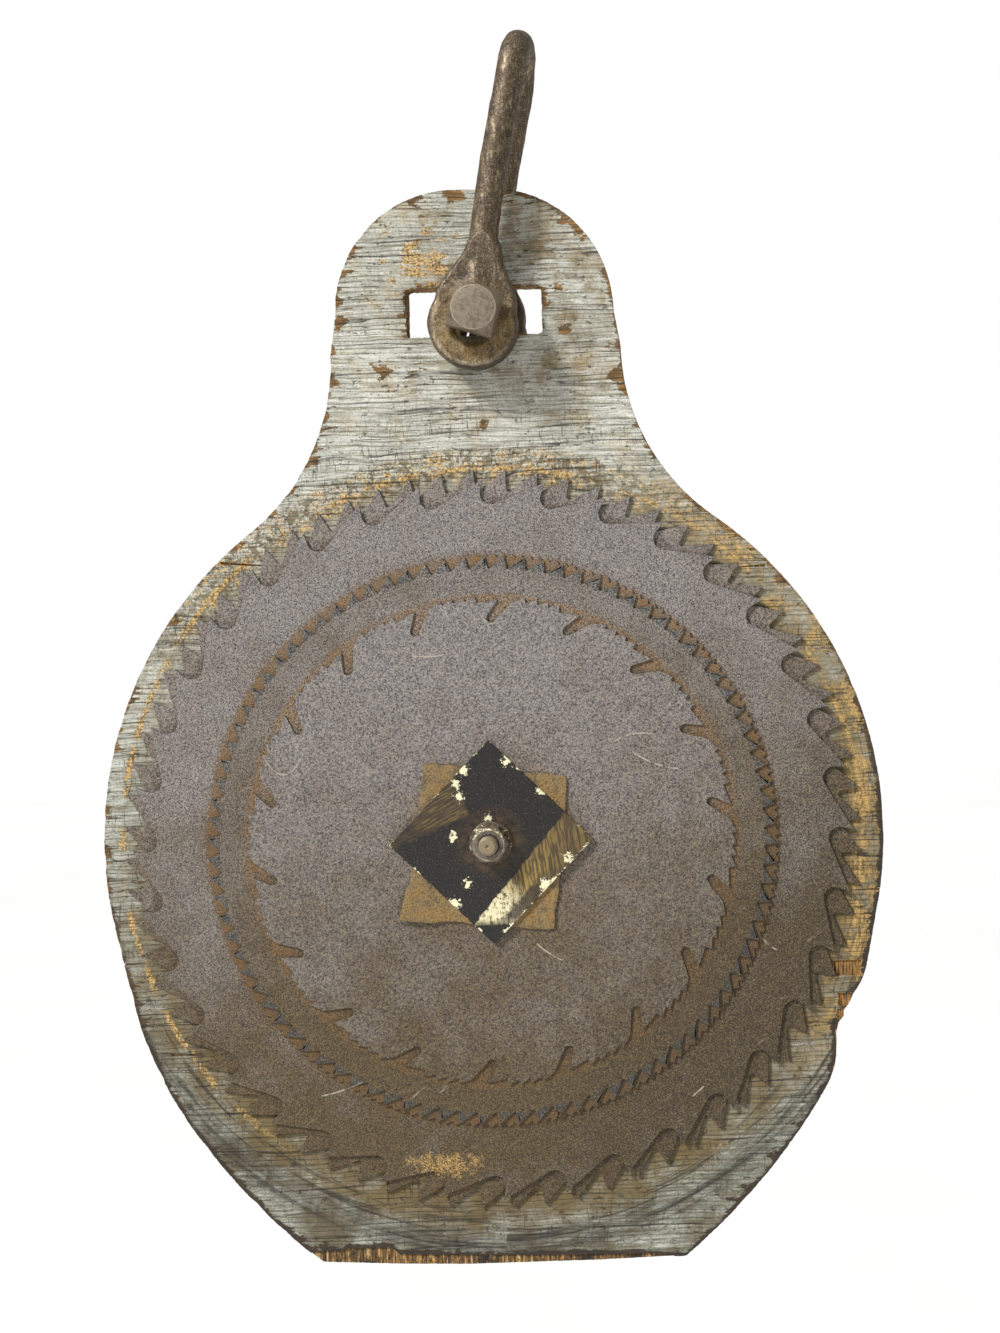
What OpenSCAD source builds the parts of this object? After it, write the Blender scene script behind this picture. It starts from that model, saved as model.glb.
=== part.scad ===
// Trade sign: a plywood board cut to the outline of a crane block, with five
// circular saw blades bolted to its face and a forged shackle through its head.
// X runs to the right, Y to the back and Z up. The origin is the middle of the
// board's bottom edge. Angles on the face run clockwise from the top.

/* [Board] */
// Thickness of each outer veneer
face_ply_t = 2; // [1:0.5:3]
// Thickness of each cross ply
cross_ply_t = 4.5; // [3:0.5:6]
// Thickness of the core ply
core_ply_t = 6; // [4:0.5:9]
// Radius of the board round the saw blades
disc_r = 322.5; // [315:0.5:345]
// Height of the disc's centre above the bottom edge
disc_z = 353.5; // [345:0.5:375]
// Distance of the disc and the blades to the right of the head's middle
disc_x = 2.5; // [-6:0.5:6]
// Radius of the lower part of the board
lower_r = 310; // [300:1:318]
// Drop from the disc's centre to the centre of the lower part
lower_drop = 60; // [50:1:75]
// Radius of the two flat corners at the bottom of the board
heel_r = 530; // [450:10:650]
// Height of the centres of the head's corners above the disc's centre
head_rise = 436.5; // [425:0.5:455]
// Radius of the head's two upper corners
head_r = 100; // [94:1:106]
// Distance between the centres of the head's two corners
head_flat = 30; // [16:1:40]
// Width of the neck under the head
neck_w = 240; // [232:1:258]
// Radius of the hollow that blends the neck into the disc
neck_r = 180; // [150:1:195]
// Height of the strip broken from the front veneer's bottom edge
broken_strip_h = 18; // [8:1:26]

/* [Slot] */
// Width of the slot through the head
slot_w = 112; // [96:1:124]
// Height of the slot through the head
slot_h = 40; // [32:1:46]
// Height of the slot's centre above the centres of the head's corners
slot_rise = -1.4; // [-5:0.2:6]

/* [Rip blades] */
// Radius of the rear rip blade to its tooth tips
rear_rip_r = 305; // [299:0.5:312]
// Thickness of the rear rip blade
rear_rip_t = 3.2; // [2:0.2:4]
// Number of teeth on the rear rip blade
rear_rip_teeth = 72; // [60:1:80]
// Depth of the rear rip blade's gullets
rear_rip_depth = 17.5; // [12:0.5:20]
// Radius at the bottom of the rear rip blade's gullets
rear_rip_gullet_r = 2.5; // [1.5:0.5:3.5]
// Radius of the front rip blade to its tooth tips
front_rip_r = 297; // [288:0.5:302]
// Thickness of the front rip blade
front_rip_t = 3.2; // [2:0.2:4]
// Number of teeth on the front rip blade
front_rip_teeth = 36; // [30:1:40]
// Depth of the front rip blade's gullets
front_rip_depth = 20.5; // [16:0.5:24]
// Radius of the front rip blade's round gullets
front_rip_gullet_r = 9; // [6:0.5:10]
// Diameter of the hole in the middle of both rip blades
rip_arbor_d = 50.8; // [38:0.1:60]

/* [Crosscut blades] */
// Radius of the fine-tooth blade to its tooth tips
fine_r = 236.5; // [235.5:0.5:242]
// Thickness of the fine-tooth blade
fine_t = 2.1; // [1.6:0.1:3]
// Number of teeth on the fine-tooth blade
fine_teeth = 200; // [160:4:220]
// Depth of the fine-tooth blade's notches
fine_depth = 4; // [3:0.25:5]
// Radius of the crosscut blade to its tooth tips
crosscut_r = 234; // [228:0.5:235]
// Thickness of the crosscut blade
crosscut_t = 2.1; // [1.6:0.1:3]
// Number of teeth on the crosscut blade
crosscut_teeth = 90; // [72:1:96]
// Depth of the crosscut blade's gullets
crosscut_depth = 10.5; // [8:0.5:12]
// Radius of the combination blade to its tooth tips
combo_r = 201; // [195:0.5:206]
// Thickness of the combination blade
combo_t = 2.1; // [1.6:0.1:3]
// Number of tooth groups round the combination blade
combo_groups = 18; // [15:1:19]
// Depth of the combination blade's gullets
combo_depth = 22; // [18:0.5:25]
// Radius at the bottom of the combination blade's gullets
combo_gullet_r = 3.8; // [3:0.2:4.6]
// Diameter of the hole in the middle of the three smaller blades
small_arbor_d = 31.8; // [26:0.1:36]

/* [Centre bolt] */
// Diameter of the centre bolt
centre_bolt_d = 15.9; // [12:0.1:18]
// Length of the centre bolt under its head
centre_bolt_len = 65; // [62:1:80]
// Width across the flats of the centre nut
centre_nut_af = 27; // [24:0.5:32]
// Thickness of the centre nut
centre_nut_t = 14; // [11:0.5:16]
// Width across the flats of the centre bolt's head
centre_head_af = 24; // [22:0.5:30]
// Thickness of the centre bolt's head
centre_head_t = 10; // [8:0.5:13]
// Diameter of the front washer
front_washer_d = 35; // [31:1:44]
// Thickness of the front washer
front_washer_t = 2.5; // [1.5:0.5:4]
// Diameter of the back washer
back_washer_d = 51; // [40:1:70]
// Thickness of the back washer
back_washer_t = 3; // [2:0.5:5]
// Side of the square plate that clamps the blades
plate_w = 118; // [100:1:130]
// Thickness of the square plate
plate_t = 3.2; // [2:0.2:5]
// Width of the leather pad under the plate
pad_w = 119; // [105:1:130]
// Height of the leather pad
pad_h = 126; // [110:1:135]
// How far the middle of the pad hangs below the centre bolt
pad_drop = 4; // [0:1:10]
// Thickness of the leather pad
pad_t = 2.5; // [2:0.5:4]
// Turn of the pad, clockwise
pad_turn = 6.5; // [0:0.5:20]

/* [Shackle] */
// Diameter of the shackle's rod
rod_d = 24; // [20:0.5:27]
// Clear reach along the legs from the bolt's axis to the inside of the bow
shackle_reach = 219; // [190:1:260]
// Distance between the middles of the shackle's legs
leg_spacing = 66; // [58:1:90]
// Thickness of the shackle's eyes
eye_t = 25.4; // [20:0.2:28]
// Radius of the shackle's eyes
eye_r = 36.5; // [34:0.5:42]
// Distance from the bolt's axis down to the middle of each eye
eye_drop = 9; // [4:0.5:9.5]
// Distance from the bolt's axis to the left to the middle of each eye
eye_side = 3.5; // [0:0.5:4]
// Radius of the loose lower part of the hole in each eye
eye_hole_r = 15.8; // [14.6:0.1:18]
// Lean of the shackle, clockwise
shackle_lean = 10; // [0:0.5:20]

/* [Shackle bolt] */
// Diameter of the shackle bolt
pin_d = 25.4; // [20:0.2:27]
// Length of the shackle bolt under its head
pin_len = 139.7; // [132:0.1:165]
// Width across the flats of the bolt's square head and its nut
pin_head_af = 38.1; // [34:0.1:44]
// Thickness of the bolt's square head
pin_head_t = 17; // [14:0.5:20]
// Thickness of the square nut
pin_nut_t = 22; // [18:0.5:25]
// Gap between the bolt's head and the front eye
pin_head_gap = 8; // [1:0.5:9]
// Turn of the bolt's square head, clockwise
pin_head_turn = 18; // [0:1:45]
// Distance of the bolt to the right of the slot's middle
pin_shift = 7.5; // [-30:0.5:30]
// Diameter of the split pin
split_pin_d = 4.8; // [4:0.2:6]

/* [Fits] */
// Clearance round the shackle bolt in its eyes and over the slot's bottom
pin_clear = 0.4; // [0.3:0.05:0.5]
// Clearance round the centre bolt in the plies and blades
bolt_clear = 0.3; // [0.1:0.05:0.5]
// Gap between the square nut and the rear eye
nut_gap = 1; // [0.4:0.1:2]

/* [Hidden] */
$fn = 96;

// Depths through the board, from its middle to the front and to the back
board_t = 2 * face_ply_t + 2 * cross_ply_t + core_ply_t;
board_front = -board_t / 2;
board_back = board_t / 2;

// Heights up the face
stack_drop = 1.5;
stack_z = disc_z - stack_drop;
head_z = disc_z + head_rise;
head_half = head_r + head_flat / 2;
slot_z = head_z + slot_rise;
neck_half = neck_w / 2;
neck_x = neck_half + neck_r;

// Windows broken through the front veneer at the lower right: how far their middle lies in from
// the rim and above the disc's centre, their width and their height
windows = [[17, -117.5, 24, 13], [12.5, -143.5, 11, 11]];

// Front face of each layer of the stack
rear_rip_y = board_front - rear_rip_t;
front_rip_y = rear_rip_y - front_rip_t;
fine_y = front_rip_y - fine_t;
crosscut_y = fine_y - crosscut_t;
combo_y = crosscut_y - combo_t;
pad_y = combo_y - pad_t;
plate_y = pad_y - plate_t;
front_washer_y = plate_y - front_washer_t;
centre_nut_y = front_washer_y - centre_nut_t;
back_washer_y = board_back + back_washer_t;
bolt_hole_r = centre_bolt_d / 2 + bolt_clear;

// Shackle and its bolt
pin_r = pin_d / 2;
pin_x = pin_shift;
pin_z = slot_z - slot_h / 2 + pin_r + pin_clear;
rod_r = rod_d / 2;
leg_y = leg_spacing / 2;
eye_out = leg_y + eye_t / 2;
bow_z = shackle_reach + rod_r - leg_y;
seat_r = pin_r + pin_clear;
neck_low = eye_r - eye_drop - 6;
neck_high = neck_low + 34;
pin_head_y = -eye_out - pin_head_gap;
pin_end_y = pin_head_y + pin_len;
pin_nut_y = eye_out + nut_gap;
split_pin_y = pin_nut_y + pin_nut_t + split_pin_d;

// Colours as the weathered sign shows them
paint = "#A9AD9F";
bare_wood = "#A8854F";
dark_wood = "#6E5A3E";
rust_steel = "#64574E";
blue_steel = "#6A6662";
leather = "#8D7048";
black_paint = "#2A2926";
forged = "#5A4C3E";

// A point on the face at a radius and a clockwise angle from the top
function polar(r, a) = [r * sin(a), r * cos(a)];

// Round bottom of a gullet: from its leading side, past its bottom and up again
function gullet(r, a, radius, first, last, steps) =
    [for (i = [0:steps])
        let (f = first + (last - first) * i / steps)
        polar(r, a)
            - radius * cos(f) * [cos(a), -sin(a)]
            - radius * sin(f) * [sin(a), cos(a)]];

// Angle in degrees that an arc length takes at a radius
function arc_angle(len, r) = len / r * 180 / PI;

// Toothed disc whose teeth have a steep front and a round gullet before it.
// lead is how far the gullet's centre lies clockwise of the tooth's tip.
module hooked_disc(r, teeth, depth, gullet_r, lead, first, last, steps, turn) {
    centre_r = r - depth + gullet_r;
    polygon([for (k = [0:teeth - 1])
        let (a = turn + k * 360 / teeth)
        each concat([polar(r, a)],
            gullet(centre_r, a + arc_angle(lead, centre_r), gullet_r, first, last, steps))]);
}

// Disc with plain notches
module notched_disc(r, teeth, depth, turn) {
    polygon([for (k = [0:teeth - 1])
        let (a = turn + k * 360 / teeth)
        each [polar(r, a), polar(r - depth, a + 0.35 * 360 / teeth)]]);
}

// Disc with groups of one raker, a deep slanted gullet and four small teeth
module grouped_disc(r, groups, depth, gullet_r, turn) {
    raker_low = 2.5;
    notch = 4;
    last_notch = 5.7;
    pitch = 360 / groups;
    tips = [for (t = [0.3225, 0.465, 0.6, 0.735]) t * pitch];
    notch_step = 0.016 * pitch;
    gullet_back = 0.077 * pitch;
    gullet_first = -26;
    gullet_last = 139;
    centre_r = r - depth + gullet_r;
    polygon([for (k = [0:groups - 1])
        let (a = turn + k * pitch)
        each concat([polar(r - raker_low, a)],
            gullet(centre_r, a - gullet_back, gullet_r, gullet_first, gullet_last, 5),
            [polar(r - 5, a + 0.17 * pitch)],
            [for (i = [0:3]) each [
                polar(r, a + tips[i]),
                polar(r - (i < 3 ? notch : last_notch), a + tips[i] + notch_step)]])]);
}

// Raises a flat shape on the face: its front is at y, and it is t thick
module plate(y, t) {
    translate([0, y + t, 0])
        rotate([90, 0, 0])
            linear_extrude(t)
                children();
}

// Cylinder along Y, from its front end at y
module rod_y(y, len, r) {
    translate([0, y + len, 0])
        rotate([90, 0, 0])
            cylinder(h = len, r = r);
}

// Points on an arc; angles run anticlockwise from the right
function arc(x, z, r, first, last, steps) =
    [for (i = [0:steps])
        let (a = first + (last - first) * i / steps)
        [x + r * cos(a), z + r * sin(a)]];

// Right half of the board's outline from the bottom up, with the disc's centre at x
function half_outline(x) =
    let (lower_z = disc_z - lower_drop,
        heel_start = -34,
        heel_x = x - (heel_r - lower_r) * cos(heel_start),
        heel_z = lower_z - (heel_r - lower_r) * sin(heel_start),
        side = asin((lower_r - disc_r) / lower_drop),
        neck_z = disc_z + sqrt(pow(disc_r + neck_r, 2) - pow(neck_x - x, 2)),
        join = atan2(neck_z - disc_z, neck_x - x))
    concat(
        arc(heel_x, heel_z, heel_r, -asin(heel_z / heel_r), heel_start, 6),
        arc(x, lower_z, lower_r, heel_start, side, 10),
        arc(x, disc_z, disc_r, side, join, 24),
        arc(neck_x, neck_z, neck_r, join + 180, 180, 18),
        arc(head_flat / 2, head_z, head_r, 0, 90, 24));

// Right rim of the board's lower part at a height above the disc's centre
function rim_x(rise) = disc_x + sqrt(pow(lower_r, 2) - pow(rise + lower_drop, 2));

// Outline of the board without its holes
module board_outline() {
    right = half_outline(disc_x);
    left = half_outline(-disc_x);
    polygon(concat(right, [for (i = [len(left) - 1:-1:0]) [-left[i][0], left[i][1]]]));
}

// One ply of the board, with the slot and the hole for the centre bolt
module ply(y, t) {
    plate(y, t)
        difference() {
            board_outline();
            translate([-slot_w / 2, slot_z - slot_h / 2]) square([slot_w, slot_h]);
            translate([disc_x, stack_z]) circle(bolt_hole_r, $fn = 48);
            children();
        }
}

module face_ply() {
    // The veneer is broken away in a ragged strip along the bottom edge, highest at the left
    h = broken_strip_h;
    ragged = [[-0.62, 0], [-0.56, 0.95], [-0.3, 1.05], [-0.27, 0.7], [-0.1, 0.55],
        [0.05, 0.45], [0.35, 0.35], [0.44, 0.25], [0.47, 0]];
    color(paint)
        ply(board_front, face_ply_t) {
            polygon([for (p = ragged) [p[0] * lower_r, p[1] * h - 1]]);
            for (w = windows)
                translate([rim_x(w[1]) - w[0], disc_z + w[1]])
                    square([w[2], w[3]], center = true);
        }
}

module front_cross_ply() {
    color(bare_wood) ply(board_front + face_ply_t, cross_ply_t);
}

module core_ply() {
    color(dark_wood) ply(-core_ply_t / 2, core_ply_t);
}

module rear_cross_ply() {
    color(bare_wood) ply(core_ply_t / 2, cross_ply_t);
}

module back_ply() {
    color(paint) ply(board_back - face_ply_t, face_ply_t);
}

// One saw blade: its outline with the round hole in its middle
module blade(y, t, hole_d) {
    translate([disc_x, 0, stack_z])
        plate(y, t)
            difference() {
                children();
                circle(d = hole_d);
            }
}

module rear_rip_blade() {
    color(rust_steel)
        blade(rear_rip_y, rear_rip_t, rip_arbor_d)
            hooked_disc(rear_rip_r, rear_rip_teeth, rear_rip_depth, rear_rip_gullet_r,
                rear_rip_gullet_r + 1.2, 5, 125, 3, 3.7);
}

module front_rip_blade() {
    color(rust_steel)
        blade(front_rip_y, front_rip_t, rip_arbor_d)
            hooked_disc(front_rip_r, front_rip_teeth, front_rip_depth, front_rip_gullet_r,
                front_rip_gullet_r - 2, -12, 117, 7, 0.1);
}

module fine_tooth_blade() {
    color(blue_steel)
        blade(fine_y, fine_t, small_arbor_d)
            notched_disc(fine_r, fine_teeth, fine_depth, 0.4);
}

module crosscut_blade() {
    crosscut_gullet_r = 1.3;
    crosscut_lead = 3.3;
    color(blue_steel)
        blade(crosscut_y, crosscut_t, small_arbor_d)
            hooked_disc(crosscut_r, crosscut_teeth, crosscut_depth, crosscut_gullet_r,
                crosscut_lead, 10, 128, 2, 0.3);
}

module combination_blade() {
    color(rust_steel)
        blade(combo_y, combo_t, small_arbor_d)
            grouped_disc(combo_r, combo_groups, combo_depth, combo_gullet_r, 3.15);
}

// Ring that fills a blade's hole down to the centre bolt
module bush(y, t, d) {
    translate([disc_x, 0, stack_z])
        difference() {
            rod_y(y, t, d / 2);
            rod_y(y - 1, t + 2, bolt_hole_r);
        }
}

module rip_blade_bush() {
    color(rust_steel) bush(front_rip_y, front_rip_t + rear_rip_t, rip_arbor_d);
}

module small_blade_bush() {
    color(rust_steel) bush(combo_y, combo_t + crosscut_t + fine_t, small_arbor_d);
}

module leather_pad() {
    color(leather)
        translate([disc_x, 0, stack_z])
            plate(pad_y, pad_t)
                difference() {
                    rotate(-pad_turn) translate([0, -pad_drop]) square([pad_w, pad_h], center = true);
                    circle(bolt_hole_r);
                }
}

module clamp_plate() {
    color(black_paint)
        translate([disc_x, 0, stack_z])
            plate(plate_y, plate_t)
                difference() {
                    rotate(45) square(plate_w, center = true);
                    circle(bolt_hole_r);
                }
}

module washer(y, t, d) {
    translate([disc_x, 0, stack_z])
        difference() {
            rod_y(y, t, d / 2);
            rod_y(y - 1, t + 2, bolt_hole_r);
        }
}

module front_washer() {
    color(forged) washer(front_washer_y, front_washer_t, front_washer_d);
}

module back_washer() {
    color(forged) washer(board_back, back_washer_t, back_washer_d);
}

// Hexagonal block whose front corners are turned off to a circle
module hex_block(y, t, af) {
    corner_r = af / 2 / cos(30);
    turned = corner_r - af / 2;
    intersection() {
        translate([0, y + t, 0])
            rotate([90, 0, 0])
                cylinder(h = t, r = corner_r, $fn = 6);
        translate([0, y + t, 0])
            rotate([90, 0, 0])
                rotate_extrude()
                    polygon([[0, 0], [corner_r, 0], [corner_r, t - turned / 2],
                        [corner_r - turned, t], [0, t]]);
    }
}

module centre_nut() {
    color(forged)
        translate([disc_x, 0, stack_z])
            difference() {
                hex_block(centre_nut_y, centre_nut_t, centre_nut_af);
                rod_y(centre_nut_y - 1, centre_nut_t + 2, centre_bolt_d / 2);
            }
}

module centre_bolt() {
    bolt_end = back_washer_y - centre_bolt_len;
    round_end = 2;
    color(forged)
        translate([disc_x, 0, stack_z]) {
            difference() {
                union() {
                    rod_y(bolt_end + round_end, centre_bolt_len - round_end, centre_bolt_d / 2);
                    translate([0, bolt_end + round_end, 0])
                        rotate([90, 0, 0])
                            cylinder(h = round_end, r1 = centre_bolt_d / 2,
                                r2 = centre_bolt_d / 2 - round_end);
                }
                rod_y(bolt_end - 1, 3, 1.6);
            }
            mirror([0, 1, 0])
                hex_block(-back_washer_y - centre_head_t, centre_head_t, centre_head_af);
        }
}

// Round flat disc along Y with rounded rims, centred on its own middle
module soft_disc(r, t, rim) {
    rotate([90, 0, 0])
        rotate_extrude($fn = 32)
            polygon([[0, -t / 2], [r - rim, -t / 2], [r - rim * 0.4, -t / 2 + rim * 0.3],
                [r, -t / 2 + rim], [r, t / 2 - rim], [r - rim * 0.4, t / 2 - rim * 0.3],
                [r - rim, t / 2], [0, t / 2]]);
}

// Hole in an eye: a seat that fits the bolt, with a loose part beside and under it
module eye_hole() {
    bevel = 1.5;
    reach = norm([eye_side, eye_drop]);
    spread = asin((eye_hole_r - seat_r) / reach);
    aim = atan2(-eye_drop, -eye_side);
    up = [-sin(spread), cos(spread)];
    down = [-sin(spread), -cos(spread)];
    plate(-eye_t / 2 - 1, eye_t + 2) {
        circle(seat_r);
        translate([-eye_side, -eye_drop]) circle(eye_hole_r);
        rotate(aim)
            polygon([seat_r * up, eye_hole_r * up + [reach, 0],
                eye_hole_r * down + [reach, 0], seat_r * down]);
    }
    translate([-eye_side, 0, -eye_drop])
        for (side = [-1, 1])
            rotate([90 * side, 0, 0])
                translate([0, 0, eye_t / 2 - bevel])
                    cylinder(h = bevel + 0.01, r1 = eye_hole_r, r2 = eye_hole_r + bevel);
}

module shackle() {
    rim = 5;
    color(forged)
        translate([pin_x, 0, pin_z])
            rotate([0, shackle_lean, 0]) {
                for (side = [-1, 1])
                    translate([0, side * leg_y, 0])
                        difference() {
                            translate([-eye_side, 0, 0]) {
                                translate([0, 0, -eye_drop]) soft_disc(eye_r, eye_t, rim);
                                soft_disc(eye_r - 3, eye_t, rim);
                                translate([0, 0, neck_low])
                                    cylinder(h = neck_high - neck_low, r1 = eye_t / 2 + 4, r2 = rod_r,
                                        $fn = 48);
                            }
                            eye_hole();
                            for (face = [-1, 1])
                                translate([-2 * eye_r, face * (eye_t / 2 + 5) - 5, -eye_r])
                                    cube([4 * eye_r, 10, 3 * eye_r]);
                        }
                translate([-eye_side, 0, 0]) {
                    for (side = [-1, 1])
                        translate([0, side * leg_y, neck_high - 1])
                            cylinder(h = bow_z - neck_high + 1, r = rod_r, $fn = 48);
                    translate([0, 0, bow_z])
                        rotate([90, 0, 90])
                            rotate_extrude(angle = 180)
                                translate([leg_y, 0]) circle(rod_r, $fn = 48);
                }
            }
}

// Square block along Y whose front corners are turned off to a circle
module square_block(y, t, af) {
    corner_r = af / 2 * sqrt(2);
    turned = corner_r - af / 2;
    intersection() {
        translate([-af / 2, y, -af / 2]) cube([af, t, af]);
        translate([0, y + t, 0])
            rotate([90, 0, 0])
                rotate_extrude()
                    polygon([[0, 0], [corner_r, 0], [corner_r, t - turned / 2],
                        [corner_r - turned, t], [0, t]]);
    }
}

module shackle_bolt() {
    thread_end = 0.08 * pin_d;
    color(forged)
        translate([pin_x, 0, pin_z])
            difference() {
                union() {
                    rotate([0, pin_head_turn, 0])
                        square_block(pin_head_y - pin_head_t, pin_head_t, pin_head_af);
                    rod_y(pin_head_y - 1, pin_len - thread_end + 1, pin_r);
                    translate([0, pin_end_y - thread_end, 0])
                        rotate([-90, 0, 0])
                            cylinder(h = thread_end, r1 = pin_r, r2 = pin_r - thread_end);
                }
                translate([0, split_pin_y, -pin_r - 1])
                    cylinder(h = 2 * pin_r + 2, r = split_pin_d / 2);
            }
}

module shackle_nut() {
    color(forged)
        translate([pin_x, 0, pin_z])
            difference() {
                rotate([0, 10, 0])
                    mirror([0, 1, 0])
                        square_block(-pin_nut_y - pin_nut_t, pin_nut_t, pin_head_af);
                rod_y(pin_nut_y - 1, pin_nut_t + 2, pin_r);
            }
}

module split_pin() {
    tail = 6;
    ring_r = split_pin_d;
    shank_low = -pin_r - tail;
    shank_high = pin_r + 2;
    color(forged)
        translate([pin_x, split_pin_y, pin_z]) {
            translate([0, 0, shank_low])
                cylinder(h = shank_high - shank_low, r = split_pin_d / 2);
            translate([0, 0, shank_high + ring_r])
                rotate([90, 0, 0])
                    rotate_extrude($fn = 32)
                        translate([ring_r, 0]) circle(split_pin_d / 4, $fn = 16);
        }
}

face_ply();
front_cross_ply();
core_ply();
rear_cross_ply();
back_ply();
rear_rip_blade();
front_rip_blade();
rip_blade_bush();
fine_tooth_blade();
crosscut_blade();
combination_blade();
small_blade_bush();
leather_pad();
clamp_plate();
front_washer();
centre_nut();
centre_bolt();
back_washer();
shackle();
shackle_bolt();
shackle_nut();
split_pin();
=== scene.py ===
"""Weathered trade sign: a painted plywood board cut to the outline of a crane block, with five
circular saw blades bolted to its face and a forged shackle through its head.

X runs to the right, Y to the back and Z up. The face looks along -Y. Lengths are in metres.
"""

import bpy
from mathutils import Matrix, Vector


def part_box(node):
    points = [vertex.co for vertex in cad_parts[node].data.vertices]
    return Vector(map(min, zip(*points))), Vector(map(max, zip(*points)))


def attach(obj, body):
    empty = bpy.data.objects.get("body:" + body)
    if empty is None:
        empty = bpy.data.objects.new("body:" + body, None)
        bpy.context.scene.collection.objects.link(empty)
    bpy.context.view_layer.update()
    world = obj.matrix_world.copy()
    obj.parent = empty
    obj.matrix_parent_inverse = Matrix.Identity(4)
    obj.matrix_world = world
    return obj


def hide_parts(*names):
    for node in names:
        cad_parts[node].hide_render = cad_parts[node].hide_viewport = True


bl_info = {
    "name": "Weathered Saw Blade Sign",
    "version": (1, 0, 0),
    "blender": (4, 5, 0),
    "location": "View3D > Sidebar > Sign",
    "description": "Builds a crane block trade sign with saw blades and a forged shackle",
    "category": "Object",
}

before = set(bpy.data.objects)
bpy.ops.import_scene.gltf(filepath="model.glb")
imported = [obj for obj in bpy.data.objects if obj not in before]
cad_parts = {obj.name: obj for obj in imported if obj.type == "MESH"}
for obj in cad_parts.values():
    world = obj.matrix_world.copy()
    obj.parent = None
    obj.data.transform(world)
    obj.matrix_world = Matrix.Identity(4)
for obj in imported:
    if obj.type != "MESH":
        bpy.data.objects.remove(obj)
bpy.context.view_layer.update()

import math
import random
from functools import partial

import bmesh
import bpy
from bpy.props import FloatProperty, FloatVectorProperty, IntProperty, PointerProperty
from mathutils import Matrix, Vector, noise
from mathutils.geometry import tessellate_polygon

MM = 0.001

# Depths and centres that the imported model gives
BOARD_FRONT, BOARD_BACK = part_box("face_ply")[0].y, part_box("back_ply")[1].y
BOARD_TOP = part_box("core_ply")[1].z
BOLT_LOW, BOLT_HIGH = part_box("centre_bolt")
STACK = Vector(((BOLT_LOW.x + BOLT_HIGH.x) / 2, (BOLT_LOW.z + BOLT_HIGH.z) / 2))
PIN_LOW, PIN_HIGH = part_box("split_pin")
PIN_X = (PIN_LOW.x + PIN_HIGH.x) / 2
SLOT_MIDDLE = (PIN_LOW.z + PIN_HIGH.z) / 2


def linear(colour):
    """Linear RGBA of an sRGB hex colour."""
    channels = [int(colour[i:i + 2], 16) / 255 for i in (1, 3, 5)]
    return [c / 12.92 if c <= 0.04045 else ((c + 0.055) / 1.055) ** 2.4 for c in channels] + [1.0]


def length(name, description, millimetres):
    """A property for a length, given in millimetres and kept in metres."""
    return FloatProperty(name=name, description=description, default=millimetres * MM,
                         unit="LENGTH", precision=4, min=-2.0, max=2.0)


def turn(name, description, degrees):
    """A property for an angle, given in degrees."""
    return FloatProperty(name=name, description=description, default=math.radians(degrees),
                         subtype="ANGLE", unit="ROTATION")


def tint(name, description, colour):
    """A property for a colour, given as sRGB hex."""
    return FloatVectorProperty(name=name, description=description, default=linear(colour),
                               size=4, subtype="COLOR", min=0.0, max=1.0)


class BoardSettings(bpy.types.PropertyGroup):
    """Outline of the plywood board and its wear."""
    disc_radius: length("Disc radius", "Radius of the board round the saw blades", 322.5)
    disc_z: length("Disc height", "Height of the disc's centre above the bottom edge", 353.5)
    lower_radius: length("Lower radius", "Radius of the lower part of the board", 310)
    lower_drop: length("Lower drop", "Drop from the disc's centre to the lower part's", 60)
    heel_radius: length("Heel radius", "Radius of the two flat bottom corners", 530)
    head_radius: length("Head radius", "Radius of the head's upper corners", 100)
    head_flat: length("Head flat", "Distance between the centres of the head's corners", 30)
    neck_width: length("Neck width", "Width of the neck under the head", 240)
    neck_radius: length("Neck radius", "Radius of the hollow between neck and disc", 180)
    slot_width: length("Slot width", "Width of the slot through the head", 112)
    slot_height: length("Slot height", "Height of the slot through the head", 40)
    slot_z: length("Slot height above the edge", "Height of the slot's centre", 788.6)
    veneer: length("Veneer", "Thickness of each outer veneer", 2)
    cross_ply: length("Cross ply", "Thickness of each cross ply", 4.5)
    broken_strip: length("Broken strip", "Height of the strip broken from the bottom edge", 18)
    edge_wear: length("Edge wear", "Depth of the ragged wear along the veneer's rim", 2.2)
    bite: length("Bite", "Depth of the broken edge at the lower right", 9)
    bite_z: length("Bite height", "Height of the middle of the broken edge", 190)
    grain: length("Grain", "Spacing of the cracks that follow the veneer's grain", 4)


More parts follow.
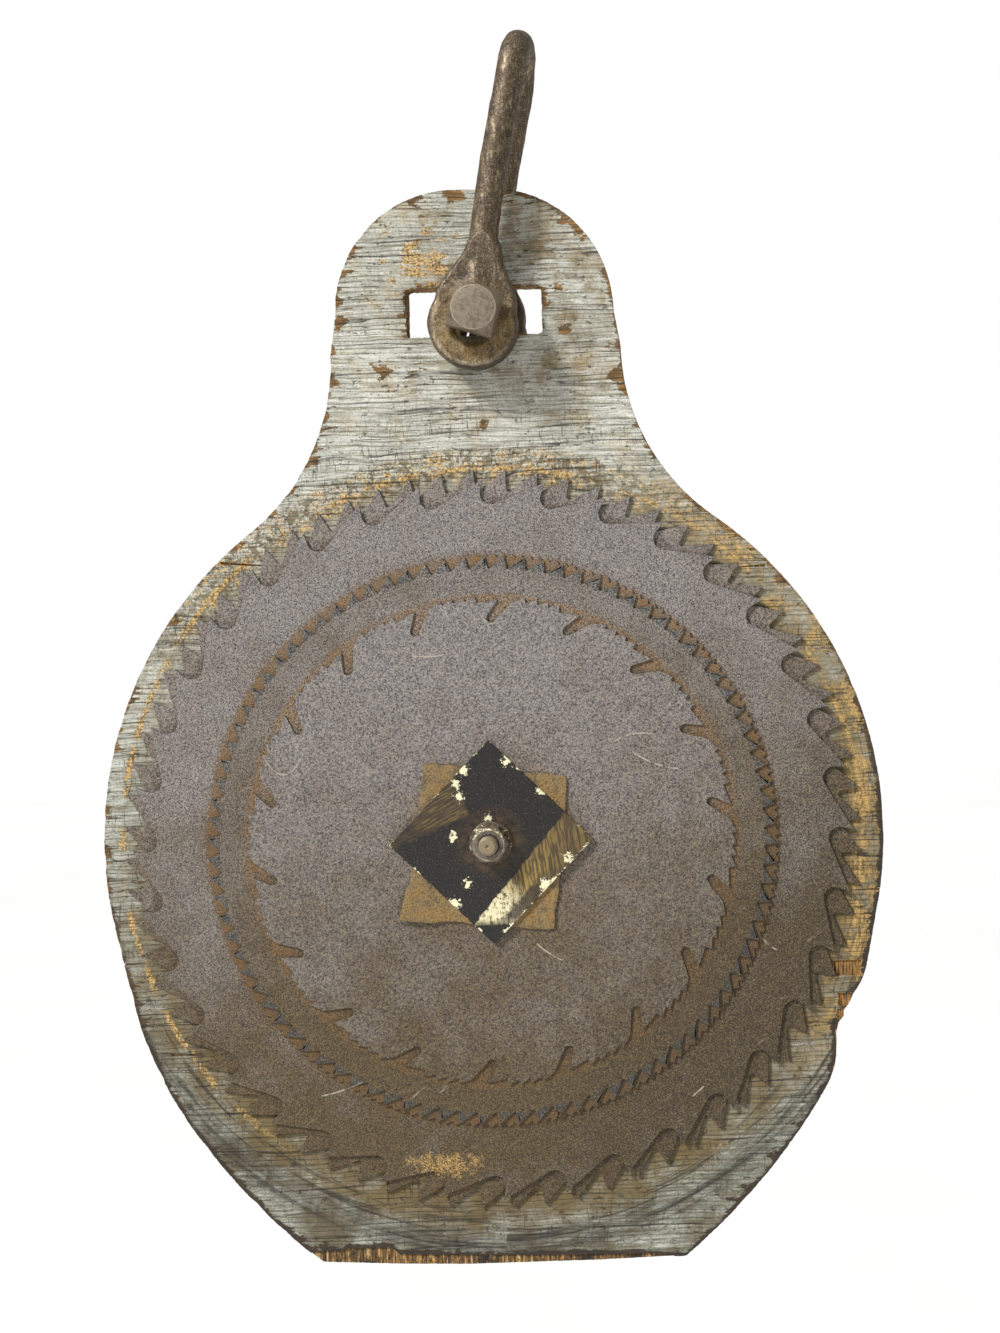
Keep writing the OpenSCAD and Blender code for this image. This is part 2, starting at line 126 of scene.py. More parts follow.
class BladeSettings(bpy.types.PropertyGroup):
    """Teeth of the five saw blades."""
    rear_rip_teeth: IntProperty(name="Rear rip teeth", description="Teeth on the rear rip blade",
                                default=72, min=12)
    rear_rip_depth: length("Rear rip gullets", "Depth of the rear rip blade's gullets", 17.5)
    rear_rip_gullet: length("Rear rip gullet radius", "Radius at the gullets' bottom", 2.5)
    front_rip_teeth: IntProperty(name="Front rip teeth", description="Teeth on the front rip blade",
                                 default=36, min=12)
    front_rip_depth: length("Front rip gullets", "Depth of the front rip blade's gullets", 20.5)
    front_rip_gullet: length("Front rip gullet radius", "Radius of the round gullets", 9)
    rip_hole: length("Rip blade hole", "Diameter of the rip blades' centre holes", 50.8)
    fine_teeth: IntProperty(name="Fine teeth", description="Teeth on the fine-tooth blade",
                            default=200, min=12)
    fine_depth: length("Fine notches", "Depth of the fine-tooth blade's notches", 4)
    crosscut_teeth: IntProperty(name="Crosscut teeth", description="Teeth on the crosscut blade",
                                default=90, min=12)
    crosscut_depth: length("Crosscut gullets", "Depth of the crosscut blade's gullets", 10.5)
    combination_groups: IntProperty(name="Combination groups", default=18, min=6,
                                    description="Groups of teeth on the combination blade")
    combination_depth: length("Combination gullets", "Depth of the combination gullets", 22)
    combination_gullet: length("Combination gullet radius", "Radius of these gullets", 3.8)
    small_hole: length("Small blade hole", "Diameter of the smaller blades' holes", 31.8)
    bevel: length("Blade bevel", "Worn bevel along a blade's rim", 0.3)


class HardwareSettings(bpy.types.PropertyGroup):
    """Clamp plate, pad and centre bolt."""
    plate_width: length("Plate width", "Side of the square clamp plate", 118)
    pad_width: length("Pad width", "Width of the leather pad", 119)
    pad_height: length("Pad height", "Height of the leather pad", 126)
    pad_drop: length("Pad drop", "Drop of the pad's middle below the centre bolt", 4)
    pad_turn: turn("Pad turn", "Clockwise turn of the leather pad", 6.5)
    pad_curl: length("Pad curl", "Lift of the pad's curled corner", 4)
    bolt_diameter: length("Bolt diameter", "Diameter of the centre bolt", 15.9)
    bolt_pitch: length("Bolt pitch", "Pitch of the centre bolt's thread", 2.3)
    nut_width: length("Nut width", "Width across the flats of the centre nut", 27)
    head_width: length("Bolt head width", "Width across the flats of the bolt's head", 24)


class ShackleSettings(bpy.types.PropertyGroup):
    """Forged shackle and its bolt."""
    rod: length("Rod", "Diameter of the shackle's rod", 24)
    reach: length("Reach", "Clear reach from the bolt's axis to the inside of the bow", 219)
    leg_spacing: length("Leg spacing", "Distance between the middles of the legs", 66)
    eye_radius: length("Eye radius", "Radius of the shackle's eyes", 36.5)
    eye_thickness: length("Eye thickness", "Thickness of the shackle's eyes", 25.4)
    eye_drop: length("Eye drop", "Distance from the bolt's axis down to an eye's middle", 9)
    eye_side: length("Eye side", "Distance from the bolt's axis left to an eye's middle", 3.5)
    eye_hole: length("Eye hole", "Radius of the loose part of the hole in an eye", 15.8)
    lean: turn("Lean", "Clockwise lean of the shackle", 10)
    crook: length("Crook", "How far the legs bow to the left halfway up", 2.4)
    bolt_diameter: length("Bolt diameter", "Diameter of the shackle bolt", 25.4)
    bolt_pitch: length("Bolt pitch", "Pitch of the shackle bolt's thread", 3.2)
    head_width: length("Head width", "Width across the flats of the square head and nut", 38.1)
    head_thickness: length("Head thickness", "Thickness of the square head", 17)
    head_turn: turn("Head turn", "Clockwise turn of the square head", 18)
    nut_turn: turn("Nut turn", "Clockwise turn of the square nut", 10)


class FinishSettings(bpy.types.PropertyGroup):
    """Colours of the paints, woods, steels and leather."""
    paint_pale: tint("Pale paint", "Weathered paint where the sun bleached it", "#CDCCBF")
    paint_green: tint("Green paint", "Weathered paint in the shade", "#9BA092")
    paint_chalk: tint("Chalk", "Chalky bloom on the weathered paint", "#E6E5DD")
    ochre: tint("Ochre wash", "Yellow stain on the head", "#B5985F")
    amber: tint("Amber crumbs", "Old paint rubbed bare round the blades", "#DBB26A")
    # Run-off dirt also paints contact shade round the blades and the shackle's shadow
    grime: tint("Grime", "Brown dirt on the paint round the blades", "#5E5138")
    run_off: tint("Run-off dirt", "Rusty dirt washed off the blades", "#6E5C37")
    # Soot also paints shade below the shackle's eyes and in the crevice round the centre bolt
    soot: tint("Soot", "Darkest dirt in cracks and scuffs", "#2A251E")
    bare_wood: tint("Bare wood", "Fir veneer where the paint is gone", "#BC8743")
    pale_wood: tint("Pale wood", "Fresh splinters", "#DCC08C")
    dark_wood: tint("Dark wood", "Weathered inner plies", "#5D4829")
    # Grey steel also paints the sheen at the top of the blades, brown steel their painted shade
    # towards the bottom
    steel_grey: tint("Grey steel", "Saw steel where the rust is thin", "#7E7978")
    steel_brown: tint("Brown steel", "Saw steel under even rust", "#54452F")
    steel_blue: tint("Blue steel", "Filed teeth", "#3A4146")
    # Black steel also paints the shade at the lower right of the blades
    steel_black: tint("Black steel", "Dark pits in the rust", "#2C2620")
    rust_orange: tint("Orange rust", "Fresh rust and stain", "#86602E")
    rust_brown: tint("Brown rust", "Old rust", "#6C4E2C")
    speck_tan: tint("Tan specks", "Pale specks in thin rust", "#B0A699")
    speck_brown: tint("Brown specks", "Pale specks in thick rust", "#97825A")
    iron_brown: tint("Brown iron", "Forged iron in the shade", "#5C4B35")
    # Dark iron also paints shade in the gullets of the saw blades
    iron_dark: tint("Dark iron", "Scale in the hollows of the forged iron", "#3A2F22")
    iron_ochre: tint("Ochre iron", "Rust on the faces of the eyes", "#8C713F")
    iron_tan: tint("Worn iron", "Forged iron where hands wore it", "#98876A")
    # Bright iron also paints a highlight on the left of the shackle's eyes
    iron_pale: tint("Bright iron", "Worn rims of the eyes", "#B5A68A")
    bolt_grey: tint("Nut grey", "Worn face of the centre nut and bolt", "#756B62")
    bolt_face: tint("Bolt face", "Worn face of the shackle bolt", "#8C7F6D")
    leather_tan: tint("Tan leather", "Weathered leather", "#86704A")
    leather_orange: tint("Orange leather", "Leather stained by rust", "#94713C")
    plate_black: tint("Plate black", "Black paint on the clamp plate", "#171512")
    plate_gold: tint("Plate gold", "Brushed ochre band on the clamp plate", "#B39648")
    plate_olive: tint("Plate olive", "Darker brush marks on the clamp plate", "#7C6636")
    plate_cream: tint("Plate cream", "Undercoat in the plate's chips", "#EFE6BE")


class StageSettings(bpy.types.PropertyGroup):
    """Camera, floor and lights."""
    camera_x: length("Camera X", "Camera to the right of the board's middle", 178.8)
    camera_y: length("Camera Y", "Camera behind the board, negative for in front", -1372.8)
    camera_z: length("Camera Z", "Camera above the board's bottom edge", 549.8)
    lens: FloatProperty(name="Lens", description="Focal length in millimetres", default=44.51)
    shift_x: FloatProperty(name="Shift X", description="Sideways shift of the lens",
                           default=-0.1494, precision=4)
    shift_y: FloatProperty(name="Shift Y", description="Upward shift of the lens",
                           default=-0.0552, precision=4)
    roll: turn("Roll", "Anticlockwise roll of the camera", -1.87)
    floor_drop: length("Floor drop", "How far the floor lies under the hanging sign", 1200)
    key_power: FloatProperty(name="Key power", description="Strength of the soft key light",
                             default=3.7, min=0.0)
    key_softness: turn("Key softness", "Angle that the key light spans as seen from the sign", 12)
    fill: FloatProperty(name="Fill", description="Strength of the pale surroundings",
                        default=0.36, min=0.0)


# Outlines on the face: points are (x, z), and blade angles run clockwise from the top

def polar(radius, angle):
    """A point at a radius and a clockwise angle from the top, in degrees."""
    return Vector((radius * math.sin(math.radians(angle)), radius * math.cos(math.radians(angle))))


def arc(centre, radius, first, last, spacing):
    """Points on an arc about a spacing apart; angles run anticlockwise from the right."""
    steps = max(2, round(abs(math.radians(last - first)) * radius / spacing))
    angles = [math.radians(first + (last - first) * i / steps) for i in range(steps + 1)]
    return [Vector(centre) + radius * Vector((math.cos(a), math.sin(a))) for a in angles]


def circle(centre, radius, steps, clockwise=False):
    """A closed loop round a centre, clockwise where it is a hole's."""
    loop = [Vector(centre) + polar(radius, -360 * i / steps) for i in range(steps)]
    return loop[::-1] if clockwise else loop


def split_long(loop, spacing):
    """The loop with points added so that none are much more than a spacing apart."""
    result = []
    for here, after in zip(loop, loop[1:] + loop[:1]):
        pieces = max(1, round((after - here).length / spacing))
        result += [here.lerp(after, i / pieces) for i in range(pieces)]
    return result


def turn_left(step):
    """Unit vector to the left of a step."""
    return Vector((-step.y, step.x)).normalized()


def inward(loop):
    """Mitred directions into the material, which lies to the left of the loop."""
    directions = []
    for before, here, after in zip(loop[-1:] + loop[:-1], loop, loop[1:] + loop[:1]):
        first, second = turn_left(here - before), turn_left(after - here)
        directions.append((first + second) / max(1 + first.dot(second), 0.35))
    return directions


def ripple(x, z, size, seed=0.0):
    """Smooth noise from -1 to 1 over the face, with features of about a size."""
    return noise.noise(Vector((x / size, z / size, seed)))


def half_outline(board, x, spacing):
    """Right half of the board's outline from the bottom up, with the disc's centre at x."""
    heel_start = -34
    lower_z = board.disc_z - board.lower_drop
    out = Vector((math.cos(math.radians(heel_start)), math.sin(math.radians(heel_start))))
    heel = Vector((x, lower_z)) - (board.heel_radius - board.lower_radius) * out
    side = math.degrees(math.asin((board.lower_radius - board.disc_radius) / board.lower_drop))
    neck_x = board.neck_width / 2 + board.neck_radius
    rise = math.sqrt((board.disc_radius + board.neck_radius) ** 2 - (neck_x - x) ** 2)
    join = math.degrees(math.atan2(rise, neck_x - x))
    head_z = BOARD_TOP - board.head_radius
    bottom = -math.degrees(math.asin(heel.y / board.heel_radius))
    return (arc(heel, board.heel_radius, bottom, heel_start, spacing)
            + arc((x, lower_z), board.lower_radius, heel_start, side, spacing)[1:]
            + arc((x, board.disc_z), board.disc_radius, side, join, spacing)[1:]
            + arc((neck_x, board.disc_z + rise), board.neck_radius, join + 180, 180, spacing)[1:]
            + arc((board.head_flat / 2, head_z), board.head_radius, 0, 90, spacing))


def board_loop(board, spacing):
    """The board's whole outline, anticlockwise from its bottom right corner."""
    right = half_outline(board, STACK.x, spacing)
    left = half_outline(board, -STACK.x, spacing)
    return split_long(right + [Vector((-p.x, p.y)) for p in reversed(left)], spacing)


def slot_loop(board, spacing):
    """The slot's outline, clockwise because it is a hole."""
    corner = 3 * MM
    half_w, half_h = board.slot_width / 2 - corner, board.slot_height / 2 - corner
    loop = []
    for x, z, first in ((half_w, half_h, 0), (-half_w, half_h, 90),
                        (-half_w, -half_h, 180), (half_w, -half_h, 270)):
        loop += arc((x, board.slot_z + z), corner, first, first + 90, 1.2 * MM)
    return split_long(loop, spacing)[::-1]


# Cracks along the grain in the front veneer: distance of the mouth from the middle, height,
# length inwards, opening and fall towards the tip, in millimetres
GRAIN_CRACKS = (
    (-216, 588, 47, 2.6, 5), (-319, 380, 20, 2.4, 1), (226, 571, 16, 2.2, 1),
    (-306, 258, 24, 1.6, 0), (-134, 690, 26, 1.4, -1), (-262, 182, 30, 1.8, 1),
    (316, 300, 20, 1.6, 0), (-104, 838, 22, 1.4, 1), (110, 835, 20, 1.4, 0),
    (314, 440, 16, 1.6, 1), (-318, 418, 18, 1.4, 0), (57, 790, 34, 1.4, 2),
)

# Windows broken through the front veneer at the lower right: middle and size in millimetres
WINDOWS = ((290.1, 236, 24, 13), (288.5, 210, 11, 11), (284, 196, 5, 12))

# Top of the strip broken from the front veneer: place from the middle in millimetres and share
# of the strip's height
BROKEN_EDGE = ((-176, 0.0), (-168, 0.9), (-94, 1.05), (-86, 0.68), (-30, 0.55), (15, 0.42),
               (110, 0.32), (136, 0.24), (146, 0.0))

# Lower edge of the whole board, which has broken off a little higher at its ends
WORN_BOTTOM = ((-200, 7.0), (-150, 6.0), (-86, 2.4), (-30, 0.4), (80, 0.4), (150, 2.0), (200, 3.0))


def rim_wear(board, point, depth, seed):
    """How far wear has eaten into the board's rim at a point of its outline."""
    worn = max(0.0, ripple(point.x, point.y, 16 * MM, seed)) ** 1.5 * depth
    worn += abs(ripple(point.x, point.y, 3.5 * MM, seed + 7)) * depth * 0.35
    reach = (point.y - board.bite_z) / (46 * MM)
    if point.x > 0 and abs(reach) < 1:
        ragged = 1 + 0.25 * ripple(point.x, point.y, 7 * MM, 31)
        worn += (board.bite + 1.5 * depth) * (0.5 + 0.5 * math.cos(math.pi * reach)) * ragged
    return worn


def window_loop(x, z, width, height):
    """Ragged outline of a window broken through the veneer."""
    half_w, half_h = width / 2 * MM, height / 2 * MM
    corners = [Vector((x * MM + i * half_w, z * MM + j * half_h))
               for i, j in ((-1, -1), (-1, 1), (1, 1), (1, -1))]
    loop = split_long(corners, 1.2 * MM)
    return [p + Vector((ripple(p.x, p.y, 2.4 * MM, 6) * 1.6, ripple(p.x, p.y, 3 * MM, 16))) * MM
            for p in loop]


def smoothed(loop, reach):
    """The loop with each point moved to the middle of its neighbours."""
    wide = 2 * reach + 1
    doubled = loop[-reach:] + loop + loop[:reach]
    return [sum(doubled[i:i + wide], Vector((0, 0))) / wide for i in range(len(loop))]


def follow(line, x):
    """Height of a line of (x, height) corners at a place, both in millimetres."""
    for (x0, h0), (x1, h1) in zip(line, line[1:]):
        if x0 <= x / MM < x1:
            return h0 + (h1 - h0) * (x / MM - x0) / (x1 - x0)
    return line[0][1] if x / MM < line[0][0] else line[-1][1]


def strip_height(board, x):
    """Height of the broken lower edge of the front veneer at a distance from the middle."""
    ragged = 0.9 + 0.14 * ripple(x, 0, 22 * MM, 3) + 0.14 * ripple(x, 0, 5 * MM, 5)
    return board.broken_strip * follow(BROKEN_EDGE, x) * ragged


def slot_wear(board, point, depth, seed):
    """How far the slot's rim is splintered, most at its corners."""
    corner = abs(point.x) / (board.slot_width / 2)
    splinter = max(0.0, ripple(point.x, point.y, 2.6 * MM, seed)) * (0.4 + 1.6 * corner ** 4)
    return depth * splinter


def ply_loops(board, depth, seed, spacing, broken):
    """The worn loops of one ply with the directions into its material."""
    smooth = board_loop(board, spacing)
    rim = []
    for point, direction in zip(smooth, inward(smooth)):
        moved = point + direction * (0.05 * MM + rim_wear(board, point, depth, seed))
        floor = (follow(WORN_BOTTOM, point.x) + 0.3 * ripple(point.x, seed, 4 * MM)) * MM
        if broken:
            floor = max(floor, strip_height(board, point.x))
        if point.y < 60 * MM and moved.y < floor:
            moved.y = floor
        rim.append(moved)
    slot = slot_loop(board, spacing)
    slot_into = inward(slot)
    worn_slot = [p + d * slot_wear(board, p, depth, seed + 3) for p, d in zip(slot, slot_into)]
    hole = circle(STACK, BOLT_HIGH.x - STACK.x, 24, clockwise=True)
    return [(rim, inward(smoothed(rim, 6))), (worn_slot, slot_into), (hole, inward(hole))]


def veneer_cutters():
    """Blocks that cut the windows and the grain cracks, open at the rim, into the front veneer."""
    bm = bmesh.new()
    depths = (BOARD_FRONT - 1 * MM, BOARD_FRONT + 3 * MM)
    for window in WINDOWS:
        skin([[(p.x, y, p.y) for p in window_loop(*window)] for y in depths], bm=bm)
    for x, z, long, opening, fall in GRAIN_CRACKS:
        side = 1 if x > 0 else -1
        if abs(z * MM - SLOT_MIDDLE) < 10 * MM:
            side = -side
        bend = ripple(x, z, 10, 2)
        middle = ((x + 8 * side + x - side * long) / 2, z - fall / 2 + bend)
        outline = [(x + 8 * side, z + opening / 2), (middle[0], middle[1] + opening / 3),
                   (x - side * long, z - fall), (middle[0], middle[1] - opening / 3),
                   (x + 8 * side, z - opening / 2)]
        skin([[(px * MM, y, pz * MM) for px, pz in outline] for y in depths], bm=bm)
    return bm


def gullet(radius, angle, round_radius, first, last, steps):
    """Round bottom of a gullet, from its leading side past its bottom and up again."""
    out, along = polar(1, angle), polar(1, angle + 90)
    points = []
    for i in range(steps + 1):
        swing = math.radians(first + (last - first) * i / steps)
        towards = along * math.cos(swing) + out * math.sin(swing)
        points.append(polar(radius, angle) - round_radius * towards)
    return points


def arc_angle(distance, radius):
    """Angle in degrees that a distance takes along a radius."""
    return math.degrees(distance / radius)


def worn_tip(radius, angle, chance, blunt):
    """Tip of one tooth, blunted a little more or less than its neighbours."""
    low = radius - blunt * chance.uniform(0.1, 1.0) ** 2
    width = arc_angle(blunt * chance.uniform(0.3, 0.9), radius)
    return [polar(low, angle - width), polar(low - blunt * 0.15, angle)]


def hooked_teeth(radius, teeth, depth, round_radius, lead, first, last, steps, turned, chance):
    """Teeth with a steep front and a round gullet before it."""
    centre = radius - depth + round_radius
    loop = []
    for k in range(teeth):
        angle = turned + k * 360 / teeth
        loop += worn_tip(radius, angle, chance, 0.7 * MM)
        loop += gullet(centre, angle + arc_angle(lead, centre), round_radius, first, last, steps)
    return loop


def notched_teeth(radius, teeth, depth, turned, chance):
    """Small plain teeth."""
    pitch = 360 / teeth
    loop = []
    for k in range(teeth):
        angle = turned + k * pitch
        low = radius - depth * chance.uniform(0.8, 1.0)
        tip = radius - 0.5 * MM * chance.random()
        loop += [polar(tip, angle), polar(low, angle + 0.35 * pitch)]
    return loop


def grouped_teeth(radius, groups, depth, round_radius, turned, chance):
    """Groups of one raker, a deep slanted gullet and four small teeth."""
    raker_low, notch, last_notch = 2.5 * MM, 4 * MM, 5.7 * MM
    pitch = 360 / groups
    centre = radius - depth + round_radius
    loop = []
    for k in range(groups):
        angle = turned + k * pitch
        loop += worn_tip(radius - raker_low, angle, chance, 0.5 * MM)
        loop += gullet(centre, angle - 0.077 * pitch, round_radius, first=-26, last=139, steps=9)
        loop.append(polar(radius - 5 * MM, angle + 0.17 * pitch))
        for i, share in enumerate((0.3225, 0.465, 0.6, 0.735)):
            tip = angle + share * pitch
            loop += worn_tip(radius, tip, chance, 0.5 * MM)
            loop.append(polar(radius - (last_notch if i == 3 else notch), tip + 0.016 * pitch))
    return loop


# Meshes

def put(name, data):
    """Links a new object into the scene."""
    thing = bpy.data.objects.new(name, data)
    bpy.context.scene.collection.objects.link(thing)
    return thing


def mesh_of(name, bm, closed=True):
    """The mesh that a bmesh makes, with its faces outwards where it is closed."""
    if closed:
        bmesh.ops.recalc_face_normals(bm, faces=bm.faces)
    mesh = bpy.data.meshes.new(name)
    bm.to_mesh(mesh)
    bm.free()
    return mesh


def new_piece(name, bm, finish, slot, body, *nodes, smooth_angle=None):
    """Makes an object of a mesh, with its finish, body and the nodes it stands for; slot is not
    used.
    """
    piece = put(name, mesh_of(name, bm))
    piece.data.materials.append(finish)
    if smooth_angle is not None:
        piece.data.shade_smooth()
        piece.data.set_sharp_from_angle(angle=math.radians(smooth_angle))
    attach(piece, body)
    if nodes:
        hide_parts(*nodes)
    return piece


def apply_modifiers(piece):
    """Makes what the piece's modifiers show its own mesh."""
    bpy.context.view_layer.update()
    shown = piece.evaluated_get(bpy.context.evaluated_depsgraph_get())
    mesh = bpy.data.meshes.new_from_object(shown)
    piece.modifiers.clear()
    piece.data = mesh


def slab(loops, front, back, bevel, rings=(), front_insets=None):
    """A flat mesh across the face between two depths, with bevelled rims.

    loops are (points, directions into the material), the outline first and then holes. rings are
    further insets that get a row of vertices, and the layer edge falls from 1 at the rim to 0.
    front_insets widens the front bevel at each point of the outline, as a file leaves a tooth.
    """
    bm = bmesh.new()
    edge = bm.verts.layers.float.new("edge")
    widest = max(rings) if rings else bevel
    rows = [(front, inset) for inset in reversed(rings)]
    rows += [(front, bevel), (front + bevel, 0), (back - bevel, 0), (back, bevel)]
    rows += [(back, inset) for inset in rings]
    ends = ([], [])
    for number, (points, directions) in enumerate(loops):
        extra = front_insets if front_insets and number == 0 else [0] * len(points)
        grid = []
        for depth, inset in rows:
            row = []
            for point, direction, wider in zip(points, directions, extra):
                into = inset + (wider if depth == front else 0)
                place = point + direction * into
                vertex = bm.verts.new((place.x, depth, place.y))
                vertex[edge] = 1 - inset / widest
                row.append(vertex)
            grid.append(row)
        for upper, lower in zip(grid, grid[1:]):
            for i in range(len(points)):
                j = (i + 1) % len(points)
                bm.faces.new((upper[i], upper[j], lower[j], lower[i]))
        ends[0].append(grid[0])
        ends[1].append(grid[-1])
    for side in ends:
        flat = [vertex for row in side for vertex in row]
        for corners in tessellate_polygon([[vertex.co for vertex in row] for row in side]):
            if len({flat[i] for i in corners}) == 3:
                bm.faces.new([flat[i] for i in corners])
    return bm


def skin(rings, closed=False, bm=None):
    """A mesh over rings of points: its ends are joined where it is closed and capped if not."""
    bm = bm or bmesh.new()
    rows = [[bm.verts.new(point) for point in ring] for ring in rings]
    pairs = list(zip(rows, rows[1:])) + ([(rows[-1], rows[0])] if closed else [])
    for upper, lower in pairs:
        for i in range(len(upper)):
            j = (i + 1) % len(upper)
            bm.faces.new((upper[i], upper[j], lower[j], lower[i]))
    if not closed:
        bm.faces.new(rows[0])
        bm.faces.new(rows[-1])
    return bm


def ring_y(centre, y, radius, steps, turned=0.0):
    """A ring round an axis along Y. radius is a number or a function of the angle, and so is y."""
    points = []
    for i in range(steps):
        angle = 2 * math.pi * i / steps
        r = radius(angle) if callable(radius) else radius
        depth = y(angle) if callable(y) else y
        points.append((centre.x + r * math.sin(angle + turned), depth,
                       centre.y + r * math.cos(angle + turned)))
    return points


def rings_y(centre, rows, steps, turned=0.0):
    """A ring for each row of a depth and a radius."""
    return [ring_y(centre, y, radius, steps, turned) for y, radius in rows]


def flats(width, sides, worn=0.0):
    """Radius of a block with flat sides, less what has worn off, as a function of the angle."""
    part = 2 * math.pi / sides
    return lambda angle: width / 2 / math.cos((angle + part / 2) % part - part / 2) - worn


def chamfer(face, width, sides, direction):
    """Depth of the turned-off rim of a block's face, as a function of the angle."""
    radius = flats(width, sides)
    return lambda angle: face + direction * (radius(angle) - 0.47 * width) * 0.75


def thread(centre, first, last, radius, pitch, steps, turned=0.0):
    """Rings that make a helical thread along Y, eight to each turn."""
    def crest(y):
        """Radius of the thread at a depth, as a function of the angle."""
        cut = lambda angle: 0.5 - 0.5 * math.cos(2 * math.pi * y / pitch - angle)
        return lambda angle: radius - 0.55 * pitch * cut(angle) ** 1.5

    count = round(abs(last - first) / pitch * 8)
    depths = [first + (last - first) * i / count for i in range(count + 1)]
    return rings_y(centre, [(y, crest(y)) for y in depths], steps, turned)


def tube(path, radii, steps):
    """A round tube along a path, with a radius for each of its points."""
    turns = [2 * math.pi * k / steps for k in range(steps)]
    rings = []
    side = None
    for i, (point, radius) in enumerate(zip(path, radii)):
        ahead = (path[min(i + 1, len(path) - 1)] - path[max(i - 1, 0)]).normalized()
        side = side or ahead.orthogonal().normalized()
        side = (side - ahead * side.dot(ahead)).normalized()
        up = ahead.cross(side)
        rings.append([point + radius * (side * math.cos(a) + up * math.sin(a)) for a in turns])
    return skin(rings)


# Finishes

def add_node(tree, kind, inputs=(), out=0, **settings):
    """Adds one node with its settings and links and gives back one of its outputs.

    An input is a value, an output, or a tuple: an output and the limits that it is mapped between.
    """
    node = tree.nodes.new("ShaderNode" + kind)
    for name, value in settings.items():
        setattr(node, name, value)
    for key, value in (inputs.items() if isinstance(inputs, dict) else enumerate(inputs)):
        if isinstance(value, tuple) and isinstance(value[0], bpy.types.NodeSocket):
            value = add_node(tree, "MapRange", value)
        if isinstance(value, bpy.types.NodeSocket):
            tree.links.new(value, node.inputs[key])
        elif value is not None:
            node.inputs[key].default_value = value
    return node.outputs[out]


def start_finish(name, metallic=0.0):
    """A new material, what adds its nodes, and the place on the sign in millimetres."""
    material = bpy.data.materials.new(name)
    material.use_nodes = True
    tree = material.node_tree
    tree.nodes["Principled BSDF"].inputs["Metallic"].default_value = metallic
    add = partial(add_node, tree)
    place = add("VectorMath", {0: add("TexCoord", out=3), 3: 1 / MM}, operation="SCALE")
    return material, add, place


def finish_with(material, add, colour, roughness, height, bump):
    """Gives a material its colour, roughness and relief, whose height is in millimetres.

    roughness is a tuple: an output and the limits that it is mapped between.
    """
    tree = material.node_tree
    relief = add("Bump", {"Strength": bump, "Distance": MM, "Height": height})
    for name, output in (("Base Color", colour), ("Roughness", add("MapRange", roughness)),
                         ("Normal", relief)):
        tree.links.new(output, tree.nodes["Principled BSDF"].inputs[name])
    return material


def grain(add, place, size, detail, roughness, squeeze=None):
    """Uneven patches of a size in millimetres, drawn out into fibres by a squeeze of each axis."""
    if squeeze:
        place = add("VectorMath", [place, squeeze], operation="MULTIPLY")
    return add("TexNoise", {"Vector": place, "Scale": 1 / size, "Detail": detail,
                            "Roughness": roughness})


def lines(add, pattern, width):
    """Thin lines where a pattern passes its middle value."""
    off = add("Math", [add("Math", [pattern, 0.5], operation="SUBTRACT")], operation="ABSOLUTE")
    return add("MapRange", [off, 0.0, width, 1.0, 0.0], interpolation_type="SMOOTHSTEP")


def splits(add, place, spacing, width, waviness):
    """Long cracks along the grain, about a spacing apart and a width across in millimetres."""
    drawn = add("VectorMath", [place, (0.05, 0.3, 1.0)], operation="MULTIPLY")
    # One period of the texture is pi / 10 at a scale of 1
    saw = add("TexWave", {"Vector": drawn, "Scale": math.pi / 10 / spacing, "Distortion": waviness,
                          "Detail": 3.0, "Detail Scale": 1.5, "Detail Roughness": 0.55}, out=1,
              wave_type="BANDS", bands_direction="Z", wave_profile="SAW")
    return add("MapRange", [saw, 0.0, width / spacing, 1.0, 0.0])


def from_axis(add, place, axis, squeeze=(1.0, 0.0, 1.0)):
    """Distance from an axis along Y and the offset, squeezed along each axis, in millimetres."""
    offset = add("VectorMath", [place, (axis.x / MM, 0.0, axis.y / MM)], operation="SUBTRACT")
    flat = add("VectorMath", [offset, squeeze], operation="MULTIPLY")
    return add("VectorMath", [flat], out=1, operation="LENGTH"), flat


def along(add, place, direction, first, last):
    """From 0 to 1 along a direction over the face, between two distances in millimetres."""
    distance = add("VectorMath", [place, direction], out=1, operation="DOT_PRODUCT")
    return add("MapRange", [distance, first, last], interpolation_type="SMOOTHSTEP")


def band(add, value, low, high, soft):
    """1 where a value lies between two limits, with soft ends."""
    rise = add("MapRange", [value, low - soft, low + soft], interpolation_type="SMOOTHSTEP")
    fall = add("MapRange", [value, high - soft, high + soft, 1.0, 0.0],
               interpolation_type="SMOOTHSTEP")
    return add("Math", [rise, fall], operation="MULTIPLY")


def blend_colours(add, base, *layers):
    """A colour with others laid over it, each a (share, colour) in order."""
    for share, colour in layers:
        base = add("Mix", {0: share, 6: base, 7: colour}, out=2, data_type="RGBA")
    return base


def both(add, *shares):
    """The product of several shares."""
    product = shares[0]
    for share in shares[1:]:
        product = add("Math", [product, share], operation="MULTIPLY", use_clamp=True)
    return product


def either(add, *shares):
    """The largest of several shares."""
    largest = shares[0]
    for share in shares[1:]:
        largest = add("Math", [largest, share], operation="MAXIMUM")
    return largest


# Where paint has flaked off the head and the neck: place and reach in millimetres
FLAKES = (
    (76, 866, 15), (86, 856, 13), (-111, 784, 15), (-115, 800, 11), (-80, 741, 12),
    (121, 728, 15), (-119, 735, 11), (5, 694, 8), (-11, 886, 15), (-47, 881, 12), (93, 845, 7),
    (70, 806, 8), (74, 771, 8), (-46, 805, 9),
)


